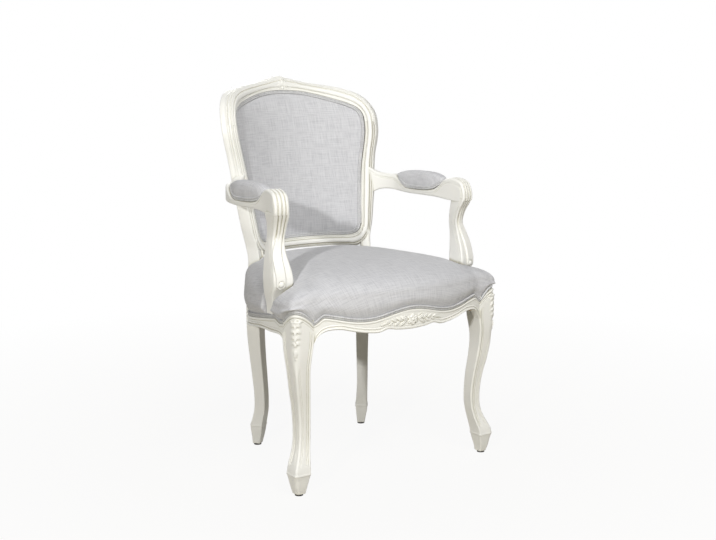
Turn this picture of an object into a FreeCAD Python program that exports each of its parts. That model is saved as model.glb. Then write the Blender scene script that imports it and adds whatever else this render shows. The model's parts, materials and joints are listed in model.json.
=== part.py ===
import FreeCAD, Part
import math
import os

# Dining armchair with a carved and painted wooden frame, cabriole front legs, a concave
# upholstered back, padded arms and a crowned seat.
# Frame of the part: +Z up, the front faces -Y, the sitter's left is +X, millimetres.
# The origin lies on the floor, under the middle of the chair's own box.

V = FreeCAD.Vector
os.makedirs("parts", exist_ok=True)
doc = FreeCAD.newDocument("armchair")
sheet = doc.addObject("Spreadsheet::Sheet", "Sizes")
S = {}


def size(alias, value):
    """Put one driving dimension into the next row of the sheet."""
    row = len(S) + 1
    sheet.set("A%d" % row, alias)
    sheet.set("B%d" % row, str(value))
    sheet.setAlias("B%d" % row, alias)
    S[alias] = float(value)


# Overall places
size("knee_x", 275.0)
size("knee_y", -241.0)
size("rear_leg_x", 171.0)
size("rear_leg_y", 138.0)
size("rear_leg_turn", 35.0)
size("crown_peak", 968.5)
# Deck: the plane on which the webbing lies, low at the back
size("deck_front", 440.0)
size("deck_slope", 0.145)
# Seat frame
size("rail_front_y", -312.0)
size("front_bow", 45.0)
size("side_bulge", 26.0)
size("rail_thick", 26.0)
size("rebate_depth", 11.0)
size("block_size", 52.0)
size("block_chamfer", 13.0)
size("block_low", 360.0)
size("arch_peak", 434.0)
size("arch_notch", 406.0)
size("rear_rail_thick", 24.0)
size("rear_leg_width", 36.5)
# Back frame
size("back_radius", 290.0)
size("back_thick", 34.0)
size("back_rake", 0.25)
size("back_axis_y", -112.0)
size("back_axis_z", 560.0)
size("shoulder_height", 845.0)
size("back_rail_low", 512.0)
size("back_rail_high", 541.0)
size("back_inner_x", 161.0)
# Clearances
size("joint_gap", 0.15)
size("soft_gap", 0.3)
size("room_gap", 1.0)
size("cover_inset", 1.0)
size("hole_gap", 0.1)
# Fasteners and dowels
size("dowel_diameter", 10.0)
size("dowel_length", 44.0)
size("dowel_pitch", 20.0)
size("front_dowel_down", 29.0)
size("rear_dowel_down", 13.0)
size("rear_dowel_pitch", 21.0)
size("rear_leg_dowel_length", 36.0)
size("side_dowel_down", 22.5)
size("side_dowel_pitch", 14.5)
size("glide_diameter", 20.0)
size("glide_height", 4.5)
size("screw_diameter", 4.5)
size("screw_head", 9.0)
size("screw_length", 34.0)
# Arms
size("arm_x", 265.0)
size("arm_top", 704.0)
size("post_top", 655.0)
size("post_y", -141.0)
size("pad_length", 188.0)
size("pad_centre_y", -12.0)
size("pad_half_width", 24.0)
size("pad_height", 31.0)
# Upholstery
size("cloth_thick", 1.6)
size("seat_crown", 524.0)
size("strap_width", 50.0)
size("strap_thick", 2.0)
size("strap_space", 10.0)
size("welt_width", 7.6)
size("welt_height", 6.0)
size("back_crown", 17.0)
size("block_depth", 34.0)
size("block_down", 3.0)
size("dust_cloth", 1.0)
doc.recompute()

UP = V(0, 0, 1)


def deck(y):
    """Height of the deck plane at y."""
    return S["deck_front"] - S["deck_slope"] * (y + 282.0)


def front_y(x):
    """Outer face of the bowed front rail."""
    return S["rail_front_y"] + S["front_bow"] * (x / S["knee_x"] * 1.115) ** 2


def side_x(y):
    """Outer face of the bulging side rail, from the knee to the rear leg."""
    half = S["block_size"] / 2
    y_a, x_a = S["knee_y"] + 33.0, S["knee_x"] + half - 2.0
    y_b, x_b = S["rear_leg_y"] - 5.0, S["rear_leg_x"] + 24.0
    k = (y - y_a) / (y_b - y_a)
    bulge = 4 * S["side_bulge"] * k * (1 - k) * (1 + 0.25 * (2 * k - 1))
    return x_a + (x_b - x_a) * k + bulge


def smooth(k):
    k = max(0.0, min(1.0, k))
    return k * k * (3 - 2 * k)


def table(rows, at):
    """Straight-line reading of a short list of (place, value) pairs."""
    if at <= rows[0][0]:
        return rows[0][1]
    for (a, va), (b, vb) in zip(rows, rows[1:]):
        if at <= b:
            return va + (vb - va) * (at - a) / (b - a)
    return rows[-1][1]


def front_shelf(x):
    """Welt line along the front rail: high in the middle, dipping at the quarters."""
    drop = smooth((abs(x) - 222.0) / 26.0)
    return deck(-282.0) - 27.0 + 9.0 * math.cos(2 * math.pi * x / 250.0) - 16.0 * drop


def side_shelf(y):
    """Welt line along the side rail, falling towards the back."""
    return deck(-20.0) - 16.0 - 0.165 * (y + 20.0) - 12.0 * smooth((-165.0 - y) / 35.0)


def front_low(x):
    """Lower edge of the front rail, measured down from the deck at the front."""
    rows = [(0, 65), (25, 64), (45, 62.5), (67, 59), (90, 64.5), (122, 63), (152, 58),
            (190, 49.5), (205, 49.5), (222, 52), (236, 60), (243, 68), (249, 80)]
    return S["deck_front"] - table(rows, abs(x))


def side_low(y):
    """Lower edge of the side rail, measured down from the deck."""
    rows = [(-220, 70), (-212, 60), (-200, 53.5), (-185, 50), (-150, 47), (-93, 41), (-20, 41),
            (80, 44.5), (110, 47), (135, 52)]
    return deck(y) - table(rows, y)


def loft(sections, ruled=False):
    """Solid through closed polygons, one after the other."""
    wires = [Part.makePolygon(s + [s[0]]) for s in sections]
    solid = Part.makeLoft(wires, True, ruled)
    if solid.Volume < 0:
        solid.reverse()
    return solid


def mirrored(shape):
    return shape.mirror(V(0, 0, 0), V(1, 0, 0))


def add_feature(label, shape):
    """A sub-part whose shape comes from the formulas here."""
    feature = doc.addObject("Part::Feature", label)
    feature.Label = label
    feature.Shape = shape
    feature.Placement = FreeCAD.Placement()
    nodes.append(feature)
    return feature


nodes = []


def pin(start, direction, length, diameter):
    return Part.makeCylinder(diameter / 2, length, start, direction)


# Concave back
def back_centre(z):
    return S["back_axis_y"] + S["back_rake"] * (z - S["back_axis_z"])


def on_back(x, z, depth):
    """Point at x of the front face, moved out along its radius by depth."""
    angle = math.asin(x / S["back_radius"])
    r = S["back_radius"] + depth
    return V(r * math.sin(angle), back_centre(z) + r * math.cos(angle), z)


def back_section(inner, outer):
    """Four corners of the back frame between an inner and an outer (x, z) point."""
    t = S["back_thick"]
    return [on_back(*inner, 0), on_back(*outer, 0), on_back(*outer, t), on_back(*inner, t)]


# Half outlines of the back opening and of the frame's outer edge, from shoulder to peak
shoulder = S["shoulder_height"]
crown = S["crown_peak"]
CREST_PAIRS = [
    ((199.0, shoulder), (219.5, shoulder)),
    ((198.5, shoulder + 14), (218.8, shoulder + 17)),
    ((195.0, shoulder + 27), (215.5, shoulder + 35)),
    ((187.5, shoulder + 38), (207.5, shoulder + 55)),
    ((176.0, shoulder + 46), (194.0, shoulder + 72)),
    ((160.0, shoulder + 53.5), (174.0, shoulder + 84)),
    ((138.0, shoulder + 61), (148.0, shoulder + 93)),
    ((110.0, shoulder + 69.5), (116.0, shoulder + 99)),
    ((76.0, shoulder + 78), (79.0, shoulder + 105)),
    ((45.0, shoulder + 83), (45.0, shoulder + 112)),
    ((22.0, shoulder + 84.7), (20.0, crown - 5)),
    ((0.0, shoulder + 85.2), (0.0, crown)),
]
# Inner and outer edge of the stile below the shoulder: (height, inner x, outer x)
inner_x = S["back_inner_x"]
STILE = [
    (505.0, inner_x - 9, inner_x + 13), (535.0, inner_x - 5, inner_x + 15.5),
    (555.0, inner_x - 1.5, inner_x + 19.5), (580.0, inner_x + 2, inner_x + 24.5),
    (615.0, inner_x + 5.5, inner_x + 29.5), (650.0, inner_x + 9.5, inner_x + 34.5),
    (690.0, inner_x + 14.5, inner_x + 39), (730.0, inner_x + 20, inner_x + 43),
    (765.0, inner_x + 27, inner_x + 48), (795.0, inner_x + 33, inner_x + 54),
    (820.0, inner_x + 37, inner_x + 57.5), (shoulder, 199.0, 219.5),
]


def crest_shape():
    """Top rail of the back, from shoulder to shoulder, with a low peak in the middle."""
    left = [back_section(a, b) for a, b in CREST_PAIRS]
    right = [back_section((-a[0], a[1]), (-b[0], b[1])) for a, b in CREST_PAIRS[:-1]]
    return loft(left + right[::-1])


def stile_section(row):
    z, x_in, x_out = row
    return back_section((x_in, z), (x_out, z))


# Rear leg: places of its axis relative to the leg at rail height, and its width
REAR_LEG = [
    (0.0, -3.0, 4.0, 21.0), (20.0, -3.7, 1.5, 26.0), (40.0, -3.8, 0.0, 31.5),
    (52.0, -4.2, -0.5, 33.0), (68.0, -6.0, -4.0, 31.5), (90.0, -8.2, -8.6, 30.0),
    (125.0, -8.6, -10.5, 29.5), (180.0, -6.5, -7.2, 31.0), (240.0, -3.4, -2.6, 33.5),
    (290.0, -1.0, -0.2, 35.8),
]


def turned_square(x, y, z, width, depth):
    """Horizontal section of the rear leg, its face turned towards the middle."""
    a = math.radians(S["rear_leg_turn"])
    along = V(math.cos(a), -math.sin(a), 0)
    ahead = V(-math.sin(a), -math.cos(a), 0)
    c = V(x, y, z)
    w, d = along * (width / 2), ahead * (depth / 2)
    return [c - w + d, c + w + d, c + w - d, c - w - d]


LEG_FLAT_LOW, LEG_FLAT_HIGH = 325.0, 405.0


def rear_leg_top():
    """Sections of the rear leg from the seat frame to the shoulder of the back."""
    lx, ly, w = S["rear_leg_x"], S["rear_leg_y"], S["rear_leg_width"]
    square = [turned_square(lx, ly, z, w, w) for z in (LEG_FLAT_HIGH, LEG_FLAT_HIGH + 25)]
    square.append(turned_square(lx - 0.5, ly - 0.3, LEG_FLAT_HIGH + 55, w - 2.5, w - 0.5))
    return square + [stile_section(row) for row in STILE]


def grown(section, gap):
    """The section with each corner moved out from its middle by gap both ways."""
    middle = V(0, 0, 0)
    for corner in section:
        middle = middle + corner * (1.0 / len(section))
    return [corner + (corner - middle).normalize() * (gap * math.sqrt(2)) for corner in section]


def rear_leg_shape():
    """Leg and back stile in one piece, for the sitter's left."""
    lx, ly = S["rear_leg_x"], S["rear_leg_y"]
    w = S["rear_leg_width"]
    foot = S["glide_height"]
    rows = [turned_square(lx + dx, ly + dy, foot + h, b, b) for h, dx, dy, b in REAR_LEG]
    rows.append(turned_square(lx, ly, LEG_FLAT_LOW, w, w))
    lower = loft(rows)
    square = [turned_square(lx, ly, z, w, w) for z in (LEG_FLAT_LOW, LEG_FLAT_HIGH)]
    middle = loft(square, True)
    upper = loft(rear_leg_top())
    return lower.fuse(middle).fuse(upper).removeSplitter()


# Front leg: (height over the glide, shift out along the diagonal, width)
FRONT_LEG = [
    (0.0, 4.5, 23.5), (14.0, 5.5, 29.0), (34.0, 5.0, 37.0), (48.0, 5.0, 41.5),
    (60.0, 3.0, 41.0), (76.0, -2.0, 37.5), (96.0, -8.5, 33.0), (120.0, -13.5, 31.0),
    (150.0, -15.0, 31.0), (180.0, -13.8, 32.0), (212.0, -10.5, 34.0), (245.0, -5.5, 37.0),
    (275.0, -1.8, 39.0), (305.0, 0.8, 41.5), (330.0, 1.5, 45.0),
]


def corner_square(x, y, z, width, cut):
    """Horizontal section of the front leg, its outer corner cut off."""
    a = width / 2
    return [V(x - a, y + a, z), V(x - a, y - a, z), V(x + a - cut, y - a, z),
            V(x + a, y - a + cut, z), V(x + a, y + a, z)]


def block_prism(low, high, inset):
    """The leg's square top, with its two outer faces moved in by inset."""
    a = S["block_size"] / 2
    c = S["block_chamfer"]
    x, y = S["knee_x"], S["knee_y"]
    plan = [(-a, a), (-a, -a + inset), (a - c - 0.41 * inset, -a + inset),
            (a - inset, -a + c + 0.41 * inset), (a - inset, a)]
    face = Part.Face(Part.makePolygon([V(x + p, y + q, low) for p, q in plan + plan[:1]]))
    return face.extrude(V(0, 0, high - low))


def under_deck(extra=0.0, low=0.0):
    """Half space below the deck plane, as a big wedge."""
    y_a, y_b = -420.0, 420.0
    side = [V(-420, y_a, low), V(-420, y_b, low), V(-420, y_b, deck(y_b) + extra),
            V(-420, y_a, deck(y_a) + extra)]
    return Part.Face(Part.makePolygon(side + side[:1])).extrude(V(840, 0, 0))


def arch_tool():
    """Everything under the arch that faces outwards along the leg's diagonal."""
    x, y = S["knee_x"], S["knee_y"]
    across = V(1, 1, 0).normalize()
    out = V(1, -1, 0).normalize()
    base = V(x, y, 0) - out * 80

    def at(s, z):
        return base + across * s + UP * z

    half = S["block_size"] * 0.7
    low, notch, peak = S["arch_notch"] - 60, S["arch_notch"], S["arch_peak"]
    wire = Part.Wire([
        Part.LineSegment(at(-half, low), at(-half, notch)).toShape(),
        Part.Arc(at(-half, notch), at(0, peak), at(half, notch)).toShape(),
        Part.LineSegment(at(half, notch), at(half, low)).toShape(),
        Part.LineSegment(at(half, low), at(-half, low)).toShape()])
    return Part.Face(wire).extrude(out * 160)


def front_leg_shape():
    """Cabriole leg with its square top, for the sitter's left."""
    x, y = S["knee_x"], S["knee_y"]
    foot = S["glide_height"]
    rows = []
    for h, out, width in FRONT_LEG:
        cut = 3.0 + 5.0 * smooth((h - 290) / 40) + 5.0 * smooth((70 - h) / 40)
        rows.append(corner_square(x + out, y - 0.85 * out, foot + h, width, cut))
    rows.append(corner_square(x, y, S["block_low"], S["block_size"], S["block_chamfer"]))
    lower = loft(rows)
    high = deck(y - 40) + 20
    block = block_prism(S["block_low"], high, 0)
    core = block_prism(S["arch_notch"] - 60, high, S["rebate_depth"])
    rim = block_prism(S["arch_notch"] - 20, high, -2).cut(core).cut(arch_tool())
    block = block.cut(rim).common(under_deck())
    return lower.fuse(block).removeSplitter()


def shelf_cut(stations, plan, shelf, sideways):
    """Rebate along a rail's outer top edge, where the cover is tacked."""
    rows = []
    for s in stations:
        outer, z = plan(s), shelf(s)
        if sideways:
            x_a, x_b = outer + 15, outer - S["rebate_depth"]
            rows.append([V(x_a, s, z), V(x_b, s, z), V(x_b, s, z + 60), V(x_a, s, z + 60)])
        else:
            y_a, y_b = outer - 15, outer + S["rebate_depth"]
            rows.append([V(s, y_a, z), V(s, y_b, z), V(s, y_b, z + 60), V(s, y_a, z + 60)])
    return loft(rows)


def spread(a, b, count):
    return [a + (b - a) * i / (count - 1) for i in range(count)]


def block_face_x():
    return S["knee_x"] - S["block_size"] / 2 - S["joint_gap"]


def block_face_y():
    return S["knee_y"] + S["block_size"] / 2 + S["joint_gap"]


def front_rail_shape():
    """Bowed and scalloped front rail between the front legs."""
    end = block_face_x()
    half = [0, 22, 45, 67, 90, 122, 152, 190, 207, 222, 236, end]
    stations = [-x for x in half[:0:-1]] + half
    rows = []
    for x in stations:
        y = front_y(x)
        y_in = y + S["rail_thick"]
        rows.append([V(x, y, front_low(x)), V(x, y_in, front_low(x)), V(x, y_in, 470), V(x, y, 470)])
    body = loft(rows).common(under_deck())
    half = [0, 30, 62, 95, 125, 155, 185, 210, 224, 236, end + 5]
    return body.cut(shelf_cut([-x for x in half[:0:-1]] + half, front_y, front_shelf, False))


def leg_face(side_out, gap):
    """Slab beyond one side face of the rear leg: outer side when side_out is 1."""
    a = math.radians(S["rear_leg_turn"])
    along = V(math.cos(a), -math.sin(a), 0) * side_out
    ahead = V(-math.sin(a), -math.cos(a), 0)
    c = V(S["rear_leg_x"], S["rear_leg_y"], 250) + along * (S["rear_leg_width"] / 2 + gap)
    ring = [c + ahead * 140, c - ahead * 140, c - ahead * 140 - along * 120,
            c + ahead * 140 - along * 120]
    return Part.Face(Part.makePolygon(ring + ring[:1])).extrude(V(0, 0, 260))


def post_seat():
    """Footprint of the arm post on the side rail, kept at full height."""
    x, y = side_x(S["post_y"]), S["post_y"]
    half = 19.0
    return Part.makeBox(60, 2 * half, 120, V(x - 35, y - half, 380))


def side_rail_shape():
    """Bulging side rail from the front leg's block to the rear leg."""
    start = block_face_y()
    stations = [start, -212, -200, -185, -150, -110, -60, -10, 40, 80, 115, 145, 170]
    rows = []
    for y in stations:
        x = side_x(y)
        x_in = x - S["rail_thick"]
        rows.append([V(x, y, side_low(y)), V(x_in, y, side_low(y)), V(x_in, y, 460), V(x, y, 460)])
    body = loft(rows).common(under_deck())
    body = body.cut(leg_face(1, S["joint_gap"]))
    stations = [start - 6, -204, -188, -165, -120, -70, -20, 30, 80, 120, 180]
    rebate = shelf_cut(stations, side_x, side_shelf, True).cut(post_seat())
    return body.cut(rebate)


# Dowels between rails and legs: (start, direction) pairs on the sitter's left
def rail_dowels():
    """Places of the seat frame's dowels, half of each in the leg."""
    y = front_y(block_face_x()) + S["rail_thick"] * 0.6
    x = side_x(block_face_y()) - S["rail_thick"] * 0.6
    half = S["dowel_length"] / 2
    places = []
    for down in (S["front_dowel_down"], S["front_dowel_down"] + S["dowel_pitch"]):
        places.append((V(block_face_x() - half, y, deck(y) - down), V(1, 0, 0)))
        places.append((V(x, block_face_y() + half, deck(block_face_y()) - down), V(0, -1, 0)))
    return places


def rear_leg_dowels():
    """Places of the dowels in the rear legs: along the leg's face to the side rail and straight
    into the full height of the rear rail, in front of its rebate."""
    a = math.radians(S["rear_leg_turn"])
    along = V(math.cos(a), -math.sin(a), 0)
    ahead = V(-math.sin(a), -math.cos(a), 0)
    leg = V(S["rear_leg_x"], S["rear_leg_y"], 0)
    start = S["rear_leg_width"] / 2 - S["rear_leg_dowel_length"] / 2
    places = []
    for k in (0, 1):
        side_z = deck(S["rear_leg_y"]) - S["side_dowel_down"] - k * S["side_dowel_pitch"]
        rear_z = deck(S["rear_leg_y"]) - S["rear_dowel_down"] - k * S["rear_dowel_pitch"]
        places.append((leg + along * start + ahead * 4 + UP * side_z, along))
        places.append((leg + V(-8, -4, rear_z), V(-1, 0, 0)))
    return places


def dowel_pins(places, gap, length):
    """Pins of the dowel size, a little bigger when gap is given."""
    d = S["dowel_diameter"]
    pins = []
    for start, direction in places:
        move = direction * gap * 5
        pins.append(pin(start - move, direction, length + 10 * gap, d + 2 * gap))
    return pins


def cut_all(shape, tools):
    for tool in tools:
        shape = shape.cut(tool)
    return shape


def rear_rail_shape():
    """Straight rear rail, its ends fitted to the turned rear legs."""
    y_out = S["rear_leg_y"] + 13
    y_in = y_out - S["rear_rail_thick"]
    x = S["rear_leg_x"]
    profile = [V(-x, y_in, deck(0) - 62), V(-x, y_out, deck(0) - 62), V(-x, y_out, 460), V(-x, y_in, 460)]
    body = Part.Face(Part.makePolygon(profile + profile[:1])).extrude(V(2 * x, 0, 0))
    body = body.common(under_deck())
    step = Part.makeBox(2 * x, 20, 60, V(-x, y_out - S["rebate_depth"], rear_shelf()))
    keep = leg_face(-1, S["joint_gap"])
    return body.cut(step).cut(keep).cut(mirrored(keep))


def rear_shelf():
    return side_shelf(S["rear_leg_y"])


def back_rail_shape():
    """Lower rail of the back, its ends swept up into the stiles."""
    end = S["back_inner_x"] + 6
    low, high = S["back_rail_low"], S["back_rail_high"]
    rows = [(0, low, high), (50, low, high), (95, low, high - 0.5), (120, low, high - 1),
            (136, low - 1, high + 1), (148, low - 3, high + 6), (156, low - 5, high + 14),
            (end, low - 7, high + 27)]
    sections = [back_section((x, b), (x, a)) for x, a, b in rows]
    other = [back_section((-x, b), (-x, a)) for x, a, b in rows[1:]]
    return loft(other[::-1] + sections).cut(rear_leg).cut(mirrored(rear_leg))


def stile_direction():
    angle = math.asin(S["back_inner_x"] / S["back_radius"])
    return V(math.cos(angle), -math.sin(angle), 0)


def back_dowels():
    """Places of the dowels at the back's lower rail and at the shoulders."""
    half = S["dowel_length"] / 2
    across = stile_direction()
    places = []
    for z in (S["back_rail_low"] + 8, S["back_rail_high"] - 3):
        places.append((on_back(S["back_inner_x"], z, S["back_thick"] / 2) - across * (half + 3), across))
    x_mid = (CREST_PAIRS[0][0][0] + CREST_PAIRS[0][1][0]) / 2
    top = on_back(x_mid, S["shoulder_height"], S["back_thick"] / 2)
    lean = V(-0.08, S["back_rake"], 1).normalize()
    places.append((top - lean * half * 0.8, lean))
    return places


# Arm: (place along, x, y, low edge, high edge, half width)
def arm_rows():
    ax, top = S["arm_x"], S["arm_top"]
    return [
        (201.0, 149.6, top - 60, top + 29, 11.5, (0.74, -0.67)),
        (211.7, 142.0, top - 50, top + 17, 12.5, (0.74, -0.67)),
        (223.0, 133.0, top - 43, top + 6, 14.5, (0.72, -0.69)),
        (233.0, 122.0, top - 40, top + 2, 15.5, (0.66, -0.75)),
        (243.0, 109.0, top - 39.5, top + 0.5, 17.0, (0.55, -0.84)),
        (ax - 11, 92.0, top - 40.5, top - 1, 20.5, (0.40, -0.92)),
        (ax - 4, 70.0, top - 43, top - 11, 24.0, (0.22, -0.98)),
        (ax - 1, 40.0, top - 45, top - 29, 26.0, (0.06, -1.0)),
        (ax, 0.0, top - 46, top - 32.5, 26.0, (0.0, -1.0)),
        (ax, -40.0, top - 46.5, top - 31, 25.0, (0.0, -1.0)),
        (ax + 1, -75.0, top - 48, top - 27, 22.5, (0.05, -1.0)),
        (ax + 2.5, -92.0, top - 50, top - 17, 20.5, (0.09, -1.0)),
        (ax + 4, -108.0, S["post_top"], top - 3, 19.0, (0.12, -1.0)),
        (ax + 8, -132.0, S["post_top"], top, 18.5, (0.18, -0.98)),
        (ax + 13, -160.0, S["post_top"], top - 5, 18.5, (0.22, -0.97)),
        (ax + 16, -176.0, S["post_top"] + 6, top - 13, 14.5, (0.24, -0.97)),
        (ax + 18, -184.0, S["post_top"] + 14, top - 22, 8.0, (0.26, -0.96)),
    ]


def arm_shape(leg):
    """Arm rail from the stile to the rounded front end over the post."""
    sections = []
    for x, y, low, high, half, heading in arm_rows():
        across = V(-heading[1], heading[0], 0).normalize() * half
        c = V(x, y, 0)
        edge = min(8.0, half * 0.45, (high - low) * 0.3)
        inner, outer = c - across, c + across
        slip = across.normalize() * edge
        sections.append([inner + UP * low, outer + UP * low, outer + UP * (high - edge),
                         outer - slip + UP * high, inner + slip + UP * high,
                         inner + UP * (high - edge)])
    body = loft(sections)
    flat = Part.makeBox(90, 110, 60, V(S["arm_x"] - 40, -200, S["post_top"] - 60 + S["joint_gap"]))
    return body.cut(leg).cut(flat)


def octagon(x, y, z, width, depth, corner):
    """Horizontal section with cut corners."""
    a, b, c = width / 2, depth / 2, corner
    return [V(x - a + c, y - b, z), V(x + a - c, y - b, z), V(x + a, y - b + c, z),
            V(x + a, y + b - c, z), V(x + a - c, y + b, z), V(x - a + c, y + b, z),
            V(x - a, y + b - c, z), V(x - a, y - b + c, z)]


# Arm post: (height, x, y, width, depth)
def post_rows():
    ax, py, top = S["arm_x"], S["post_y"], S["post_top"]
    foot = deck(S["post_y"])
    x_foot = side_x(S["post_y"]) - 13.5
    return [
        (top, ax + 9, py - 12, 36, 56), (top - 10, ax + 8, py - 10, 35, 50),
        (top - 22, ax + 6.5, py - 6, 33.5, 42), (top - 40, ax + 6, py - 1, 31, 34.5),
        (top - 58, ax + 7, py + 2, 29.5, 31),
        (top - 78, ax + 9.5, py + 1, 29.5, 32), (top - 98, ax + 12.5, py - 2, 31, 38),
        (top - 116, ax + 14.5, py - 7, 32, 48), (top - 136, ax + 15.5, py - 12, 33, 59),
        (top - 156, ax + 15.5, py - 15.5, 33, 66), (top - 172, ax + 15, py - 15, 32, 65),
        (top - 190, x_foot + 2.5, py - 9.5, 30, 54), (top - 210, x_foot + 1, py - 3.5, 27.5, 42),
        (foot + 8, x_foot, py, 26, 37),
    ]


def post_shape():
    """Arm post, swelling above the seat rail on which it stands."""
    rows = []
    for z, x, y, width, depth in post_rows():
        rows.append(octagon(x, y, z, width, depth, min(width, depth) * 0.15))
    last = rows[-1]
    gap = S["joint_gap"]
    foot = [[p for p in last], [V(p.x, p.y, deck(p.y) + gap) for p in last]]
    return loft(rows).fuse(loft(foot, True)).removeSplitter()


def arm_dowel_places():
    """Dowels at the stile, at the top of the post and at its foot."""
    half = S["dowel_length"] / 2
    heading = V(0.74, -0.67, 0).normalize()
    ax, py = S["arm_x"], S["post_y"]
    foot = V(side_x(py) - 13.5, py, deck(py))
    return [
        (V(216, 139.5, S["arm_top"] - 20) - heading * half, heading),
        (V(ax + 6, py - 8, S["post_top"] - half), UP),
        (foot - UP * half * 0.9, UP),
    ]


# Soft outlines on the seat
def seat_stations():
    """Half outline of the seat from the rear middle to the front middle, with normals."""
    lx, ly = S["rear_leg_x"], S["rear_leg_y"]
    kx, ky = S["knee_x"], S["knee_y"]
    a = S["block_size"] / 2
    y_rear = ly + 13
    rows = [((0, y_rear), (0, 1)), ((60, y_rear), (0, 1)), ((120, y_rear), (0, 1)),
            ((lx - 14, y_rear - 0.5), (0.08, 1)), ((lx + 10, y_rear - 5), (0.5, 0.87)),
            ((side_x(ly - 6), ly - 6), (0.9, 0.43))]
    for y in (105, 70, 30, -15, -60, -105, -150, -190):
        slope = (side_x(y + 1) - side_x(y - 1)) / 2
        rows.append(((side_x(y), y), (1, -slope)))
    rows += [((kx + a, ky + 22), (1, -0.02)), ((kx + a, ky + 2), (1, -0.1)),
             ((kx + a - 6, ky - a + 6), (0.75, -0.66)), ((kx + 2, ky - a), (0.1, -1))]
    for x in (235, 200, 160, 115, 75, 35, 0):
        slope = (front_y(x + 1) - front_y(x - 1)) / 2
        rows.append(((x, front_y(x)), (slope, -1)))
    return rows


def shifted(point, normal, shift):
    n = math.hypot(*normal)
    return (point[0] + shift * normal[0] / n, point[1] + shift * normal[1] / n)


def seat_ring(shift, scale, z_mid, slope):
    """One closed outline of the seat pad in a tilted plane."""
    cy = -65.0
    half = [shifted(p, n, shift) for p, n in seat_stations()]
    half = [(x * scale, cy + (y - cy) * scale) for x, y in half]
    ring = half + [(-x, y) for x, y in half[-2:0:-1]]
    return [V(x, y, z_mid + slope * (y + 60)) for x, y in ring]


def seat_body(inset):
    """Crowned seat pad: drawn in at the welt, full at the side, domed above."""
    at_welt = 2.0 - S["rebate_depth"]
    top = S["seat_crown"]
    levels = [(at_welt, 1, 360 - 2 * inset, -0.14), (at_welt, 1, 397, -0.13), (-5.5, 1, 412, -0.10),
              (-2.0, 1, 427, -0.07), (1.0, 1, 443, -0.04), (0.5, 1, 457, -0.01), (-4.0, 1, 471, 0.02),
              (-13, 1, 486, 0.03), (-6, 0.92, top - 25, 0.03), (-5, 0.84, top - 15.5, 0.03),
              (-4, 0.68, top - 6, 0.025), (-2, 0.45, top - 1.5, 0.015), (0, 0.16, top, 0)]
    rings = []
    for shift, scale, z, slope in levels:
        down = inset * smooth((z - 440) / 50)
        rings.append(seat_ring(shift - inset, scale, z - down, slope))
    return loft(rings, True)


def above_deck(lift, y_a=-420.0, y_b=420.0):
    """Half space above the deck plane, raised by lift."""
    side = [V(-420, y_a, deck(y_a) + lift), V(-420, y_b, deck(y_b) + lift), V(-420, y_b, 700),
            V(-420, y_a, 700)]
    return Part.Face(Part.makePolygon(side + side[:1])).extrude(V(840, 0, 0))


def post_room():
    """Room that the seat's soft pieces leave for an arm post and a rear leg."""
    gap = S["room_gap"]
    rows = []
    for z, x, y, width, depth in post_rows()[6:]:
        rows.append([V(x - width / 2 - gap, y - depth / 2 - gap, z), V(x + 60, y - depth / 2 - gap, z),
                     V(x + 60, y + depth / 2 + gap, z), V(x - width / 2 - gap, y + depth / 2 + gap, z)])
    foot = [V(p.x, p.y, deck(p.y) - 3) for p in rows[-1]]
    width = S["rear_leg_width"]
    foot_square = turned_square(S["rear_leg_x"], S["rear_leg_y"], LEG_FLAT_LOW, width, width)
    leg = [grown(section, gap) for section in [foot_square] + rear_leg_top()]
    return [loft(rows), loft([rows[-1], foot], True), loft(leg, True)]


def biggest(shape):
    """The one solid that remains after the small offcuts are dropped."""
    return max(shape.Solids, key=lambda solid: solid.Volume)


def clear_of(shape, tools):
    for tool in tools:
        shape = shape.cut(tool).cut(mirrored(tool))
    return shape


def seat_foam_shape():
    body = seat_body(S["cloth_thick"] + S["soft_gap"])
    body = body.common(above_deck(2 * S["strap_thick"] + S["soft_gap"]))
    return biggest(clear_of(body, rooms))


def seat_cover_shape():
    """Cloth over the pad, tacked in the rebate and cut round the posts and legs."""
    shell = seat_body(0).cut(seat_body(S["cloth_thick"]))
    shell = clear_of(shell, rooms + [front_leg, side_rail] + rail_holes)
    return biggest(shell.cut(front_rail).cut(rear_rail))


def tube(stations, width, height):
    """Flattened tube through (centre, side, top) stations, eight sides."""
    rows = []
    for c, side, top in stations:
        a, b = width / 2, height / 2
        ring = [(1, 0.4), (0.55, 1), (-0.55, 1), (-1, 0.4), (-1, -0.4), (-0.55, -1), (0.55, -1), (1, -0.4)]
        rows.append([c + side * (a * p) + top * (b * q) for p, q in ring])
    return loft(rows, True)


def welt_height_at(x, y):
    """Height of the rebate's shelf under the welt at a point of the seat's outline."""
    kx, ky, half = S["knee_x"], S["knee_y"], S["block_size"] * 0.7
    across = (x - kx + y - ky) / math.sqrt(2)
    if x > kx - S["block_size"] / 2 and y < ky + S["block_size"] / 2:
        return S["arch_peak"] - (S["arch_peak"] - S["arch_notch"]) * (across / half) ** 2
    if y < ky + S["block_size"] / 2:
        return front_shelf(x)
    return side_shelf(y)


def welt_station(point, normal):
    shift = S["welt_width"] / 2 + 2 - S["rebate_depth"] + S["soft_gap"]
    x, y = shifted(point, normal, shift)
    z = welt_height_at(*point) + S["welt_height"] / 2 + S["soft_gap"]
    n = V(normal[0], normal[1], 0).normalize()
    return (V(x, y, z), n, UP)


def flip(station):
    c, side, top = station
    return (V(-c.x, c.y, c.z), V(-side.x, side.y, side.z), top)


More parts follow.
